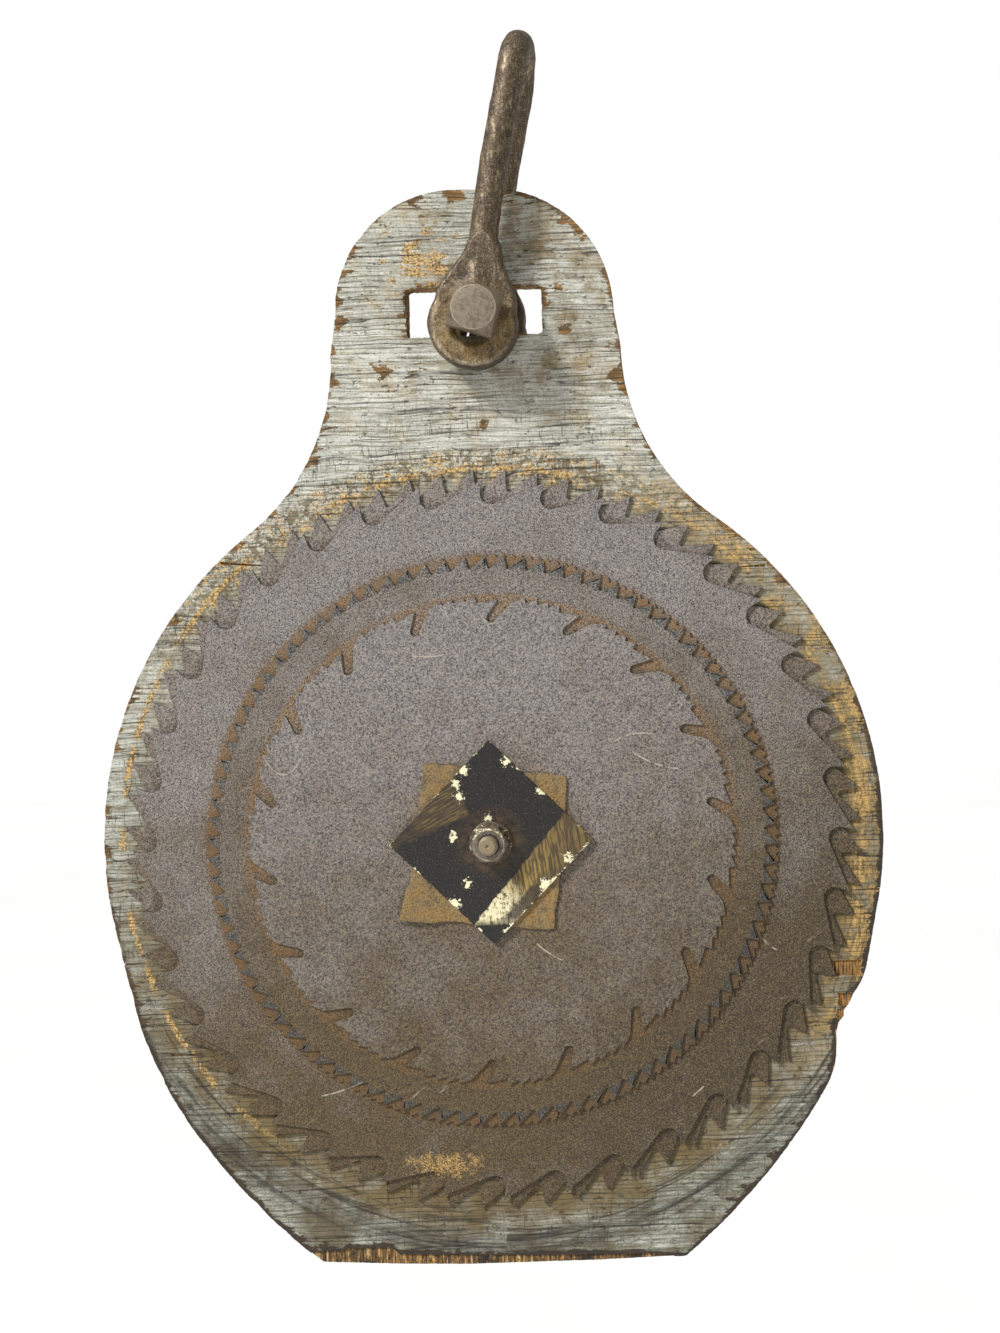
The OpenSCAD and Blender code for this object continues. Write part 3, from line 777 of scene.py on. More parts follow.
def weathered_paint(colours, board):
    """Oil paint brushed on fir plywood and left outdoors."""
    # Matt and chalky, with hairline cracks along the horizontal grain, flaked to orange wood at
    # the rim, and brown dirt where water ran off the blades
    material, add, place = start_finish("weathered_oil_paint_on_fir_plywood")
    spacing = board.grain / MM
    wander = add("TexNoise", {"Vector": place, "Scale": 1 / 90, "Detail": 2.0}, out=1)
    wander = add("VectorMath", [wander, (0.5, 0.5, 0.5)], operation="SUBTRACT")
    waved = add("VectorMath", {0: wander, 1: (10.0, 0.0, 10.0), 2: place},
                operation="MULTIPLY_ADD")
    radius, offset = from_axis(add, place, STACK)
    behind = add("MapRange", [add("SeparateXYZ", [place], out=1), 0.0, 1.0])
    radius = add("Math", [behind, 1000.0, radius], operation="MULTIPLY_ADD")
    patchy = grain(add, waved, 11.0, 3.0, 0.6, (0.25, 0.5, 1.0))
    fine_cracks = both(add, splits(add, waved, spacing, 0.7, 6.0), (patchy, 0.36, 0.56, 0.25, 1.0))
    coarse_cracks = both(add, splits(add, waved, 3.6 * spacing, 1.1, 13.0), (patchy, 0.46, 0.54))
    checks = lines(add, grain(add, waved, 7.0, 2.0, 0.5, (1.0, 1.0, 0.2)), 0.022)
    checks = both(add, checks, (patchy, 0.42, 0.52), (radius, 380.0, 330.0, 0.3, 1.0))
    crazed = add("VectorMath", [waved, (0.7, 1.0, 1.0)], operation="MULTIPLY")
    crazed = add("TexVoronoi", {"Vector": crazed, "Scale": 1 / 10, "Randomness": 1.0},
                 feature="DISTANCE_TO_EDGE")
    crazed = both(add, (crazed, 0.04, 0.015), (patchy, 0.5, 0.42))
    dashes = add("MapRange", [grain(add, waved, 3.0, 2.0, 0.6, (0.4, 0.5, 1.0)), 0.65, 0.68])

    # Bleached and green patches, dark fibres that show through and an ochre wash on the head
    tone = add("MapRange", [grain(add, place, 110, 5.0, 0.65), 0.35, 0.65])
    down = along(add, place, (0.35, 0.0, -1.0), -800.0, -60.0)
    green = add("Math", [tone, 0.5, add("Math", [down, 0.7], operation="MULTIPLY")],
                operation="MULTIPLY_ADD", use_clamp=True)
    fibres = grain(add, waved, 1.9, 3.0, 0.7, (0.07, 0.5, 1.0))
    streaks = add("MapRange", [fibres, 0.48, 0.7, 0.0, 0.75])
    lights = add("MapRange", [fibres, 0.46, 0.32, 0.0, 0.8])
    blots = grain(add, waved, 26, 6.0, 0.72)
    washed = both(add, (blots, 0.5, 0.64, 0.05, 0.65),
                  along(add, place, (0.3, 0.0, 1.0), 560.0, 780.0))

    # Dirt and scuffs round the blades, most at the bottom; the back has none. The brown ring
    # round the blades is also painted contact shade, and the brown round the slot also paints
    # the shackle's shadow
    low_side = along(add, offset, (0.3, 0.0, -0.95), -150.0, 150.0)
    stained = add("MapRange", [blots, 0.38, 0.6, 0.45, 1.0])
    # Dirt and painted contact shade round the blades, heaviest low down
    low_dirt_and_contact_shade = both(add, band(add, radius, 262.0, 322.0, 9.0), low_side, stained)
    spread = both(add, along(add, offset, (-0.4, 0.0, -0.92), -20.0, 300.0),
                  (blots, 0.4, 0.6, 0.3, 0.9))
    # Rusty dirt round the slot, which also paints the shackle's shadow on the head
    to_slot = add("VectorMath", [place, (30.0, -9.0, 795.0)], out=1, operation="DISTANCE")
    dirt_and_shackle_shadow = both(add, (to_slot, 50.0, 115.0, 0.75, 0.0), (blots, 0.4, 0.6))
    # Dirt and painted contact shade in a thin ring just outside the blades
    between = both(add, band(add, radius, 262.0, 309.0, 5.0), stained)
    right_side = along(add, offset, (0.97, 0.0, 0.24), 170.0, 270.0)
    golden = both(add, band(add, radius, 285.0, 340.0, 8.0), right_side,
                  (blots, 0.34, 0.56, 0.35, 0.85))
    angle = add("Math", [add("SeparateXYZ", [offset], out=0), add("SeparateXYZ", [offset], out=2)],
                operation="ARCTAN2")
    swept = add("CombineXYZ", [add("Math", [angle, 26.0], operation="MULTIPLY"), 0.0, radius])
    arcs = grain(add, swept, 4.6, 5.0, 0.72, (0.5, 1.0, 1.0))
    swept_dirt = add("MapRange", [arcs, 0.4, 0.56, 0.15, 0.7])
    scuffed = both(add, band(add, radius, 308.0, 342.0, 7.0), low_side,
                   add("MapRange", [arcs, 0.52, 0.6], interpolation_type="SMOOTHSTEP"))
    upper_left = along(add, offset, (-0.8, 0.0, 0.6), -60.0, 120.0)
    crumbs = grain(add, waved, 6, 3.0, 0.7)
    amber_streaks = both(add, band(add, radius, 298.0, 330.0, 5.0), right_side,
                         (arcs, 0.42, 0.58, 0.15, 0.9), (blots, 0.44, 0.52, 0.1, 1.0),
                         (crumbs, 0.4, 0.52, 0.1, 1.0))
    flaky = both(add, band(add, radius, 296.0, 324.0, 6.0),
                 along(add, offset, (-0.25, 0.0, 1.0), 150.0, 290.0))
    ragged_radius = add("Math", [crumbs, 8.0, radius], operation="MULTIPLY_ADD")
    rubbed = both(add, band(add, ragged_radius, 308.6, 313.4, 0.6), upper_left, (blots, 0.47, 0.5))

    # Paint gone: along the rim, in flakes along the grain and in one patch on the head
    edge = add("Attribute", out=2, attribute_name="edge")
    rim = add("MapRange", [edge, 0.62, 1.0])
    flakes = grain(add, waved, 2.6 * spacing, 6.0, 0.68, (0.3, 0.6, 1.0))
    near_rim = add("Math", [edge, 0.15, flakes], operation="MULTIPLY_ADD")
    near_rim = add("Math", [rim, 0.05, near_rim], operation="MULTIPLY_ADD")
    near_rim = add("Math", [both(add, rim, low_side), 0.14, near_rim], operation="MULTIPLY_ADD")
    near_rim = add("MapRange", [near_rim, 0.685, 0.7])
    to_patch = add("VectorMath", [place, (-43.0, -9.0, 829.0)], out=1, operation="DISTANCE")
    islands = grain(add, waved, 8.0, 5.0, 0.7, (0.5, 0.6, 1.0))
    islands = add("Math", [(to_patch, 0.0, 46.0, 0.19, -0.1), islands], operation="ADD")
    rubbed = either(add, both(add, flaky, (crumbs, 0.55, 0.58)), rubbed, (islands, 0.6, 0.615))
    broad = grain(add, waved, 9.0, 5.0, 0.7, (0.5, 0.6, 1.0))
    gone = either(add, near_rim, (flakes, 0.675, 0.69))
    for x, z, reach in FLAKES:
        away = add("VectorMath", [place, (x, -9.0, z)], out=1, operation="DISTANCE")
        away = add("Math", [(away, 0.0, 1.6 * reach, 0.2, -0.2), broad], operation="ADD")
        gone = either(add, gone, (away, 0.575, 0.59))
    fibre = grain(add, place, 1.4, 5.0, 0.7, (0.05, 1.0, 1.0))
    aged = add("MapRange", [blots, 0.4, 0.55, 0.3, 0.95])
    wood = blend_colours(add, colours.bare_wood, ((fibre, 0.38, 0.6), colours.dark_wood),
                         (both(add, aged, 0.9), colours.dark_wood),
                         (both(add, low_side, near_rim, 0.8), colours.soot))

    specks = grain(add, place, 1.7, 3.0, 0.8)
    dusty, bleached = (specks, 0.52, 0.68, 0.0, 0.6), (specks, 0.46, 0.32, 0.0, 0.5)
    crumbled = blend_colours(add, colours.amber, ((specks, 0.45, 0.58), colours.dark_wood),
                             ((specks, 0.44, 0.36), colours.pale_wood))
    colour = blend_colours(
        add, colours.paint_pale, (green, colours.paint_green), (washed, colours.ochre),
        (lights, colours.paint_chalk), (bleached, colours.paint_chalk), (streaks, colours.grime),
        (spread, colours.grime), (dirt_and_shackle_shadow, colours.run_off),
        (both(add, flaky, (crumbs, 0.52, 0.44), 0.85), colours.run_off),
        (both(add, band(add, radius, 326.0, 346.0, 9.0), low_side, swept_dirt), colours.soot),
        (both(add, low_dirt_and_contact_shade, 0.9), colours.run_off), (both(add, between, 0.5), colours.run_off),
        (golden, colours.run_off), (amber_streaks, colours.amber), (dusty, colours.grime),
        (gone, wood), (both(add, rubbed, 0.85), crumbled),
        (both(add, scuffed, 0.75), colours.soot),
        (both(add, rim, low_side, 0.7), colours.soot), (both(add, dashes, 0.7), colours.soot),
        (both(add, checks, 0.65), colours.soot), (both(add, crazed, low_side, 0.5), colours.soot),
        (both(add, fine_cracks, 0.88), colours.soot),
        (both(add, coarse_cracks, 0.95), colours.soot))
    height = add("Math", [fine_cracks, -0.4, fibres], operation="MULTIPLY_ADD")
    height = add("Math", [coarse_cracks, -0.8, height], operation="MULTIPLY_ADD")
    height = add("Math", [gone, -0.5, height], operation="MULTIPLY_ADD")
    return finish_with(material, add, colour, (blots, 0.3, 0.7, 0.72, 0.9), height, 0.9)


def inner_ply(colours, name, squeeze):
    """Rotary-cut fir veneer, bare and weathered."""
    # Orange and cream fibres with dark gaps, brown where rain reached them
    material, add, place = start_finish(name)
    fibre = grain(add, place, 2.6, 5.0, 0.7, squeeze)
    fine = grain(add, place, 1.1, 3.0, 0.7, squeeze)
    patches = grain(add, place, 14, 4.0, 0.65)
    damp = add("MapRange", [add("SeparateXYZ", [place], out=2), 90.0, 40.0, 0.35, 1.0])
    gaps = add("MapRange", [fine, 0.5, 0.6], interpolation_type="SMOOTHSTEP")
    pale = both(add, (fibre, 0.5, 0.42), (patches, 0.44, 0.56), (damp, 0.35, 1.0, 1.0, 0.5))
    brown = both(add, either(add, (fibre, 0.42, 0.54), (patches, 0.58, 0.46, 0.0, 0.95)), damp)
    knots = both(add, (patches, 0.46, 0.4), damp, 0.85)
    colour = blend_colours(add, colours.bare_wood, (brown, colours.dark_wood),
                           (pale, colours.pale_wood), (both(add, gaps, 0.9), colours.soot),
                           (knots, colours.soot))
    height = add("Math", [fibre, fine], operation="ADD")
    return finish_with(material, add, colour, (fine, 0.3, 0.7, 0.75, 0.95), height, 1.0)


# Scratches in the blades: middle, half length, slope in degrees and sag, in millimetres
SCRATCHES = (
    (-166, 412, 15, 2, 13), (46, 259, 12, -35, 1), (165, 140, 6, 40, 0), (227, 258, 7, -40, 1),
    (134, 413, 24, -25, 4), (120, 436, 16, 10, -3), (-40, 505, 18, 4, 2), (-128, 150, 20, 18, 2),
)


def saw_steel(colours, name, tip_radius, tooth_depth, stain_radius, gullet_depth, stain, blue,
              warm):
    """Spring steel saw plate, ground flat and rusted outdoors."""
    # An even dull brown-grey bloom with tan and black specks, greyer towards the top as a
    # painted sheen and browner towards the bottom, partly rust and partly painted shade, and
    # orange where it stood under the teeth of the next blade. Radii and depths are in
    # millimetres; stain, blue and warm are how much orange, filed steel and brown there is
    material, add, place = start_finish(name, metallic=0.3)
    radius, offset = from_axis(add, place, STACK)
    # Painted shade and sheen: shade turns the plate from grey at the top to brown towards the
    # bottom; brown adds it to random patches of rust
    shade = along(add, offset, (0.2, 0.0, -0.98), -260.0, 250.0)
    # Painted shade: black steel darkens the lower right of each plate, away from the light
    lower_right_painted_shade = both(add, along(add, offset, (0.8, 0.0, -0.6), 110.0, 280.0), 0.45)
    mottle = grain(add, place, 48, 6.0, 0.68)
    brown = add("Math", [(mottle, 0.3, 0.7, -0.3, 0.3), shade], operation="ADD")
    brown = add("Math", [brown, warm], operation="ADD", use_clamp=True)
    # The bloom's grit is finer than a pixel and is drawn 1.2 mm across
    grit = grain(add, place, 1.2, 2.0, 0.9)
    pale = both(add, (grit, 0.5, 0.64, 0.0, 0.85), (brown, 0.2, 1.0, 1.0, 0.6))
    dark = add("MapRange", [grit, 0.48, 0.36, 0.0, 1.0])
    blots = grain(add, place, 8, 5.0, 0.72)
    under = band(add, radius, stain_radius - 27, stain_radius + 2, 2.0)
    wet = both(add, under, (blots, 0.34, 0.58, 0.3, 1.0), stain)
    # Dirt and painted shade: dark iron where the plate shows through the gullets of the blade in
    # front, darkest at the gullets' bottoms
    gullet_dirt_and_painted_shade = both(add, (radius, stain_radius - 0.95 * gullet_depth,
                        stain_radius - 0.45 * gullet_depth, 1.0, 0.0),
                  (blots, 0.32, 0.52, 0.45, 1.0), 0.75)
    teeth = band(add, radius, tip_radius - tooth_depth, tip_radius + 5, 1.5)
    bare = both(add, teeth, blue, (blots, 0.62, 0.5))
    bled = both(add, (radius, 100.0, 55.0, 0.0, 0.4), blots)
    drips = add("MapRange", [blots, 0.62, 0.7, 0.0, 0.4])
    turned = add("Mapping", {"Vector": place, "Rotation": (0.0, 0.6, 0.0)})
    scratches = lines(add, grain(add, turned, 9.0, 1.0, 0.6, (0.03, 0.3, 1.0)), 0.004)
    scratches = both(add, scratches, (mottle, 0.58, 0.63), 0.6)
    for x, z, reach, slope, sag in SCRATCHES:
        away = add("VectorMath", [place, (x, 0.0, z)], operation="SUBTRACT")
        run = (math.cos(math.radians(slope)), 0.0, math.sin(math.radians(slope)))
        rise = add("VectorMath", [away, (-run[2], 0.0, run[0])], out=1, operation="DOT_PRODUCT")
        run = add("VectorMath", [away, run], out=1, operation="DOT_PRODUCT")
        bow = add("Math", [add("Math", [run, run], operation="MULTIPLY"), -sag / reach ** 2, rise],
                  operation="MULTIPLY_ADD")
        scratch = both(add, band(add, bow, -0.55, 0.55, 0.3), band(add, run, -reach, reach, 1.5),
                       (blots, 0.4, 0.5))
        scratches = either(add, scratches, scratch)
    # Ochre crumbs stuck low on the front rip blade, spread wider than high
    lump, _ = from_axis(add, place, Vector((-46.6, 86.3)) * MM, (0.3, 0.0, 1.0))
    lump = add("Math", [blots, 40.0, lump], operation="MULTIPLY_ADD")
    crumbs = both(add, (lump, 30.0, 25.0), (grit, 0.46, 0.58, 0.1, 0.7))
    colour = blend_colours(
        add, colours.steel_grey, (brown, colours.steel_brown), (bare, colours.steel_blue),
        (bled, colours.rust_brown),
        # The orange stain is browner towards the bottom by the same painted shade
        (wet, blend_colours(add, colours.rust_orange, (shade, colours.rust_brown))),
        (drips, colours.rust_brown), (lower_right_painted_shade, colours.steel_black), (gullet_dirt_and_painted_shade, colours.iron_dark),
        (pale, blend_colours(add, colours.speck_tan, (brown, colours.speck_brown))),
        (crumbs, colours.amber), (dark, colours.steel_black), (scratches, colours.speck_tan))
    height = add("Math", [grit, blots], operation="ADD")
    return finish_with(material, add, colour, (grit, 0.35, 0.65, 0.5, 0.74), height, 0.4)


def forged_iron(colours, eye):
    """Hand-forged wrought iron, rusted brown and rubbed by use."""
    # Dark brown with pits and pale worn streaks along the bar, ochre on the eyes' faces, a pale
    # line on the left of their rims that is wear and a painted highlight, and soot below and to
    # the right of the rims as painted shade
    material, add, place = start_finish("forged_wrought_iron", metallic=0.4)
    marks = grain(add, place, 10, 6.0, 0.7)
    pits = add("TexVoronoi", {"Vector": place, "Scale": 1 / 4.5, "Randomness": 1.0})
    streaks = grain(add, place, 3.4, 5.0, 0.75, (1.0, 1.0, 0.25))
    worn = both(add, (streaks, 0.52, 0.6), (marks, 0.42, 0.54))
    grit = grain(add, place, 1.6, 2.0, 0.85)
    reach, offset = from_axis(add, place, eye)
    face = add("MapRange", [reach, 38.0, 28.0])
    ochre = both(add, face, (marks, 0.36, 0.58, 0.25, 1.0))
    # Painted highlight: left keeps the pale line on the eye's rim to the side towards the light,
    # where the iron is also worn
    left = along(add, offset, (-0.8, 0.0, -0.4), -20.0, 22.0)
    line = both(add, band(add, reach, 31.0, 34.0, 1.2), left, (streaks, 0.42, 0.58, 0.1, 1.0))
    # Painted shade: soot just outside each eye's rim, below and to its right, away from the light
    under = both(add, (reach, 31.0, 35.0), (reach, 44.0, 40.0),
                 along(add, offset, (0.5, 0.0, -0.87), 2.0, 26.0))
    colour = blend_colours(
        add, colours.iron_brown, ((marks, 0.42, 0.62, 0.0, 0.75), colours.steel_brown),
        ((marks, 0.47, 0.37, 0.0, 0.9), colours.iron_dark),
        (both(add, ochre, 0.8), colours.iron_ochre), (both(add, worn, 0.9), colours.iron_tan),
        (both(add, under, 0.8), colours.soot), (line, colours.iron_pale),
        ((grit, 0.54, 0.68, 0.0, 0.5), colours.speck_tan),
        ((grit, 0.46, 0.34, 0.0, 0.6), colours.steel_black),
        ((pits, 0.2, 0.08, 0.0, 0.6), colours.soot))
    height = add("Math", [(pits, 0.0, 0.25, 0.0, 0.5), 1.0, marks], operation="MULTIPLY_ADD")
    return finish_with(material, add, colour, (streaks, 0.35, 0.7, 0.6, 0.38), height, 0.5)


def fastener_steel(colours, name, pale, axis, face_radius):
    """Plain steel nuts, washers and bolts, rusted."""
    # Grey-brown flats with a bright worn line where the face meets the turned-off corners, dark
    # corners and cream paint dabs round the centre bolt
    material, add, place = start_finish(name, metallic=0.4)
    blots = grain(add, place, 6, 6.0, 0.75)
    grit = grain(add, place, 1.4, 3.0, 0.8)
    radius, offset = from_axis(add, place, STACK)
    dabs = both(add, band(add, radius, 12.0, 19.0, 0.8), (blots, 0.57, 0.585),
                along(add, offset, (-0.2, 0.0, 1.0), -18.0, 4.0))
    # Painted shade: a dark ring in the crevice between the bolt's threaded end and the nut
    crevice_painted_shade = both(add, band(add, radius, 7.9, 8.9, 0.4), 0.85)
    thread_end = add("MapRange", [radius, 8.0, 7.6, 0.0, 0.75])
    reach, _ = from_axis(add, place, axis)
    corners = add("MapRange", [reach, face_radius - 0.1, face_radius + 0.3, 0.0, 0.4])
    line = both(add, band(add, reach, face_radius - 0.7, face_radius, 0.3),
                (blots, 0.42, 0.55, 0.15, 0.9))
    colour = blend_colours(
        add, pale, ((blots, 0.46, 0.62, 0.0, 0.6), colours.steel_brown),
        ((blots, 0.62, 0.7, 0.0, 0.5), colours.rust_brown), (corners, colours.steel_brown),
        (line, colours.iron_pale), ((grit, 0.55, 0.7, 0.0, 0.5), colours.speck_tan),
        ((grit, 0.45, 0.32, 0.0, 0.6), colours.steel_black), (thread_end, colours.iron_tan),
        (crevice_painted_shade, colours.soot), (dabs, colours.plate_cream))
    height = add("Math", [grit, blots], operation="ADD")
    return finish_with(material, add, colour, (blots, 0.35, 0.65, 0.42, 0.62), height, 0.15)


def belt_leather(colours):
    """Vegetable-tanned belt leather, dried out and rust-stained."""
    # Matt tan with a pebbled grain, orange where rust soaked in and brown where dirt stayed
    material, add, place = start_finish("dried_vegetable_tanned_leather")
    blots = grain(add, place, 11, 6.0, 0.72)
    pebbles = add("TexVoronoi", {"Vector": place, "Scale": 1 / 2.0})
    grit = grain(add, place, 1.7, 3.0, 0.85)
    colour = blend_colours(
        add, colours.leather_tan, ((blots, 0.48, 0.62, 0.0, 0.8), colours.leather_orange),
        ((blots, 0.48, 0.34, 0.0, 0.85), colours.steel_brown),
        ((grit, 0.52, 0.68, 0.0, 0.6), colours.speck_brown),
        ((grit, 0.48, 0.34, 0.0, 0.85), colours.iron_dark))
    height = add("Math", [pebbles, grit], operation="ADD")
    return finish_with(material, add, colour, (blots, 0.3, 0.7, 0.7, 0.88), height, 0.7)


# Chips in the plate's paint: place from the centre bolt and reach in millimetres
CHIPS = (
    (-31, 5, 2.4), (-20, -33, 2.4), (-21, 60, 3.4), (-27, 48, 2.6), (15, 66, 3), (63, -14, 3),
    (43, -36, 4.2), (-32, -49, 4), (12, -75, 3), (-2, 20, 2), (42, 40, 2.4), (-25, 38, 2),
)


def chipped_black_paint(colours):
    """Black enamel over ochre and cream on a steel plate, scraped and chipped."""
    # Satin black with cream chips at the rim, an ochre band brushed along one side that is
    # brightest at its lower end, and a darker brushed patch in the left corner
    material, add, place = start_finish("chipped_black_enamel_on_steel")
    radius, offset = from_axis(add, place, STACK)
    diagonal = math.sqrt(0.5)
    across = add("VectorMath", [offset, (-diagonal, 0.0, diagonal)], out=1,
                 operation="DOT_PRODUCT")
    lengthwise = add("VectorMath", [offset, (diagonal, 0.0, diagonal)], out=1,
                     operation="DOT_PRODUCT")
    edge = add("Attribute", out=2, attribute_name="edge")
    blots = grain(add, place, 7, 6.0, 0.7)
    specks = grain(add, place, 3.4, 4.0, 0.75)
    grit = grain(add, place, 1.4, 2.0, 0.8)
    leaning = add("Mapping", {"Vector": place, "Rotation": (0.0, 0.12, 0.0)})
    brushed = grain(add, leaning, 1.6, 4.0, 0.65, (1.0, 1.0, 0.08))
    crossed = add("Mapping", {"Vector": place, "Rotation": (0.0, -1.1, 0.0)})
    crossed = grain(add, crossed, 1.4, 4.0, 0.65, (1.0, 1.0, 0.1))
    uneven = add("Math", [blots, 9.0, across], operation="MULTIPLY_ADD")
    slanted = add("Math", [lengthwise, -0.07, uneven], operation="MULTIPLY_ADD")
    height = add("SeparateXYZ", [offset], out=2)
    band_side = both(add, (slanted, -26.5, -27.5), (height, -68.0, -62.0))
    streaky = add("MapRange", [brushed, 0.44, 0.53], interpolation_type="SMOOTHSTEP")
    gold = blend_colours(add, colours.plate_gold, ((lengthwise, -30.0, 30.0), colours.plate_olive),
                         (both(add, streaky, 0.85), colours.iron_dark))
    outer = add("Math", [blots, 14.0, across], operation="MULTIPLY_ADD")
    outer = both(add, band_side, (outer, -40.0, -43.0), (lengthwise, 22.0, 0.0, 0.35, 0.9))
    bright = both(add, band_side, (lengthwise, -8.0, -30.0),
                  (add("Math", [streaky, 0.14, specks], operation="MULTIPLY_ADD"), 0.7, 0.62))
    corner = add("Math", [lengthwise, 0.4, uneven], operation="MULTIPLY_ADD")
    right_end = add("Math", [across, -0.52, lengthwise], operation="MULTIPLY_ADD")
    left = both(add, (corner, 34.0, 36.0), (right_end, -10.0, -13.0))
    left_colour = blend_colours(
        add, colours.plate_olive, ((crossed, 0.36, 0.52, 0.2, 1.0), colours.iron_dark),
        ((lengthwise, -26.0, -40.0, 0.0, 0.6), colours.plate_black))
    flakes = grain(add, place, 10, 6.0, 0.75)
    chips = add("Math", [edge, 0.19, flakes], operation="MULTIPLY_ADD")
    cream = add("MapRange", [chips, 0.725, 0.735])
    for x, z, reach in CHIPS:
        away = add("VectorMath", [offset, (x, 0.0, z)], out=1, operation="DISTANCE")
        away = add("Math", [specks, 24.0, away], operation="MULTIPLY_ADD")
        cream = either(add, (away, 12.6 + reach, 12.0 + reach), cream)
    rust = both(add, (radius, 16.0, 32.0, 1.0, 0.0), (blots, 0.4, 0.58), 0.55)
    colour = blend_colours(
        add, colours.plate_black, ((grit, 0.58, 0.72, 0.0, 0.4), colours.iron_tan),
        (rust, colours.rust_brown), (band_side, gold), (left, left_colour),
        (both(add, bright, 0.85), colours.plate_cream), (outer, colours.iron_dark),
        (cream, colours.plate_cream))
    height = add("Math", [either(add, cream, bright), -0.5, brushed], operation="MULTIPLY_ADD")
    return finish_with(material, add, colour, (brushed, 0.35, 0.65, 0.36, 0.55), height, 0.35)


def plain_floor():
    """Pale matt studio floor."""
    # Nearly white, with faint clouds about as wide as the sign is high
    material, add, place = start_finish("pale_matt_studio_floor")
    cloud = grain(add, place, 900, 2.0, 0.5)
    colour = blend_colours(add, linear("#F4F4F2"), ((cloud, 0.3, 0.7), linear("#FAFAF9")))
    shader = material.node_tree.nodes["Principled BSDF"]
    material.node_tree.links.new(colour, shader.inputs["Base Color"])
    shader.inputs["Roughness"].default_value = 0.9
    return material


# Pieces

class SIGN_OT_board(bpy.types.Operator):
    """Build the five worn plies of the board and the splinters of its broken edge"""
    bl_idname = "sign.build_board"
    bl_label = "Build Board"

    def execute(self, context):
        board, colours = context.scene.sign_board, context.scene.sign_finish
        paint = weathered_paint(colours, board)
        upright = inner_ply(colours, "bare_fir_cross_ply", (1.0, 1.0, 0.05))
        level = inner_ply(colours, "bare_fir_core_ply", (0.05, 1.0, 1.0))
        first = BOARD_FRONT + board.veneer
        second = first + board.cross_ply
        # Piece, node, depths, finish, slot, share of the wear, and if its lower edge broke off
        plies = (
            ("face_veneer", "face_ply", BOARD_FRONT, first, paint, "painted_ply", 1.0, True),
            ("front_cross_veneer", "front_cross_ply", first, second, upright, "cross_ply", 0.5,
             False),
            ("core_veneer", "core_ply", second, -second, level, "core_ply", 0.35, False),
            ("rear_cross_veneer", "rear_cross_ply", -second, -first, upright, "cross_ply", 0.5,
             False),
            ("back_veneer", "back_ply", -first, BOARD_BACK, paint, "painted_ply", 0.8, False),
        )
        for number, (name, node, front, back, finish, slot, share, broken) in enumerate(plies):
            spacing = (1.6 if finish is paint else 2.5) * MM
            rings = (4 * MM, 14 * MM) if finish is paint else ()
            loops = ply_loops(board, board.edge_wear * share, 11.3 * number, spacing, broken)
            bm = slab(loops, front, back, bevel=0.35 * MM, rings=rings)
            ply = new_piece(name, bm, finish, slot, "board", node)
            if broken:
                self.break_up(ply)
        self.splinters(board, upright, first)
        return {"FINISHED"}

    def break_up(self, ply):
        """Cuts the windows and the grain cracks into the front veneer."""
        cutters = put("Veneer_cutters", mesh_of("Veneer_cutters", veneer_cutters()))
        cut = ply.modifiers.new("Windows and cracks", "BOOLEAN")
        cut.object = cutters
        cut.solver = "EXACT"
        apply_modifiers(ply)
        bpy.data.objects.remove(cutters)

    def splinters(self, board, finish, depth):
        """Upright slivers left on the cross ply where the front veneer broke away."""
        chance = random.Random(5)
        bm = bmesh.new()
        for _ in range(170):
            x = chance.uniform(-150, 146) * MM
            top, bottom = strip_height(board, x), (follow(WORN_BOTTOM, x) + 0.5) * MM
            if top < bottom + 2.5 * MM:
                continue
            low = bottom + chance.uniform(0.0, 0.35) * (top - bottom)
            high = low + (top - low) * chance.uniform(0.4, 1.0)
            wide = chance.uniform(0.5, 1.8) * MM
            thick = chance.uniform(0.3, 1.5) * MM
            lean = chance.uniform(-1.0, 1.0) * MM
            foot = [bm.verts.new((x + side * wide, y, low)) for side, y in (
                (-1, depth + 0.3 * MM), (1, depth + 0.3 * MM), (0.3, depth - thick))]
            tip = bm.verts.new((x + lean, depth + 0.2 * MM, high))
            bm.faces.new(foot)
            for a, b in ((0, 1), (1, 2), (2, 0)):
                bm.faces.new((foot[a], foot[b], tip))
        new_piece("broken_edge_splinters", bm, finish, "cross_ply", "board")


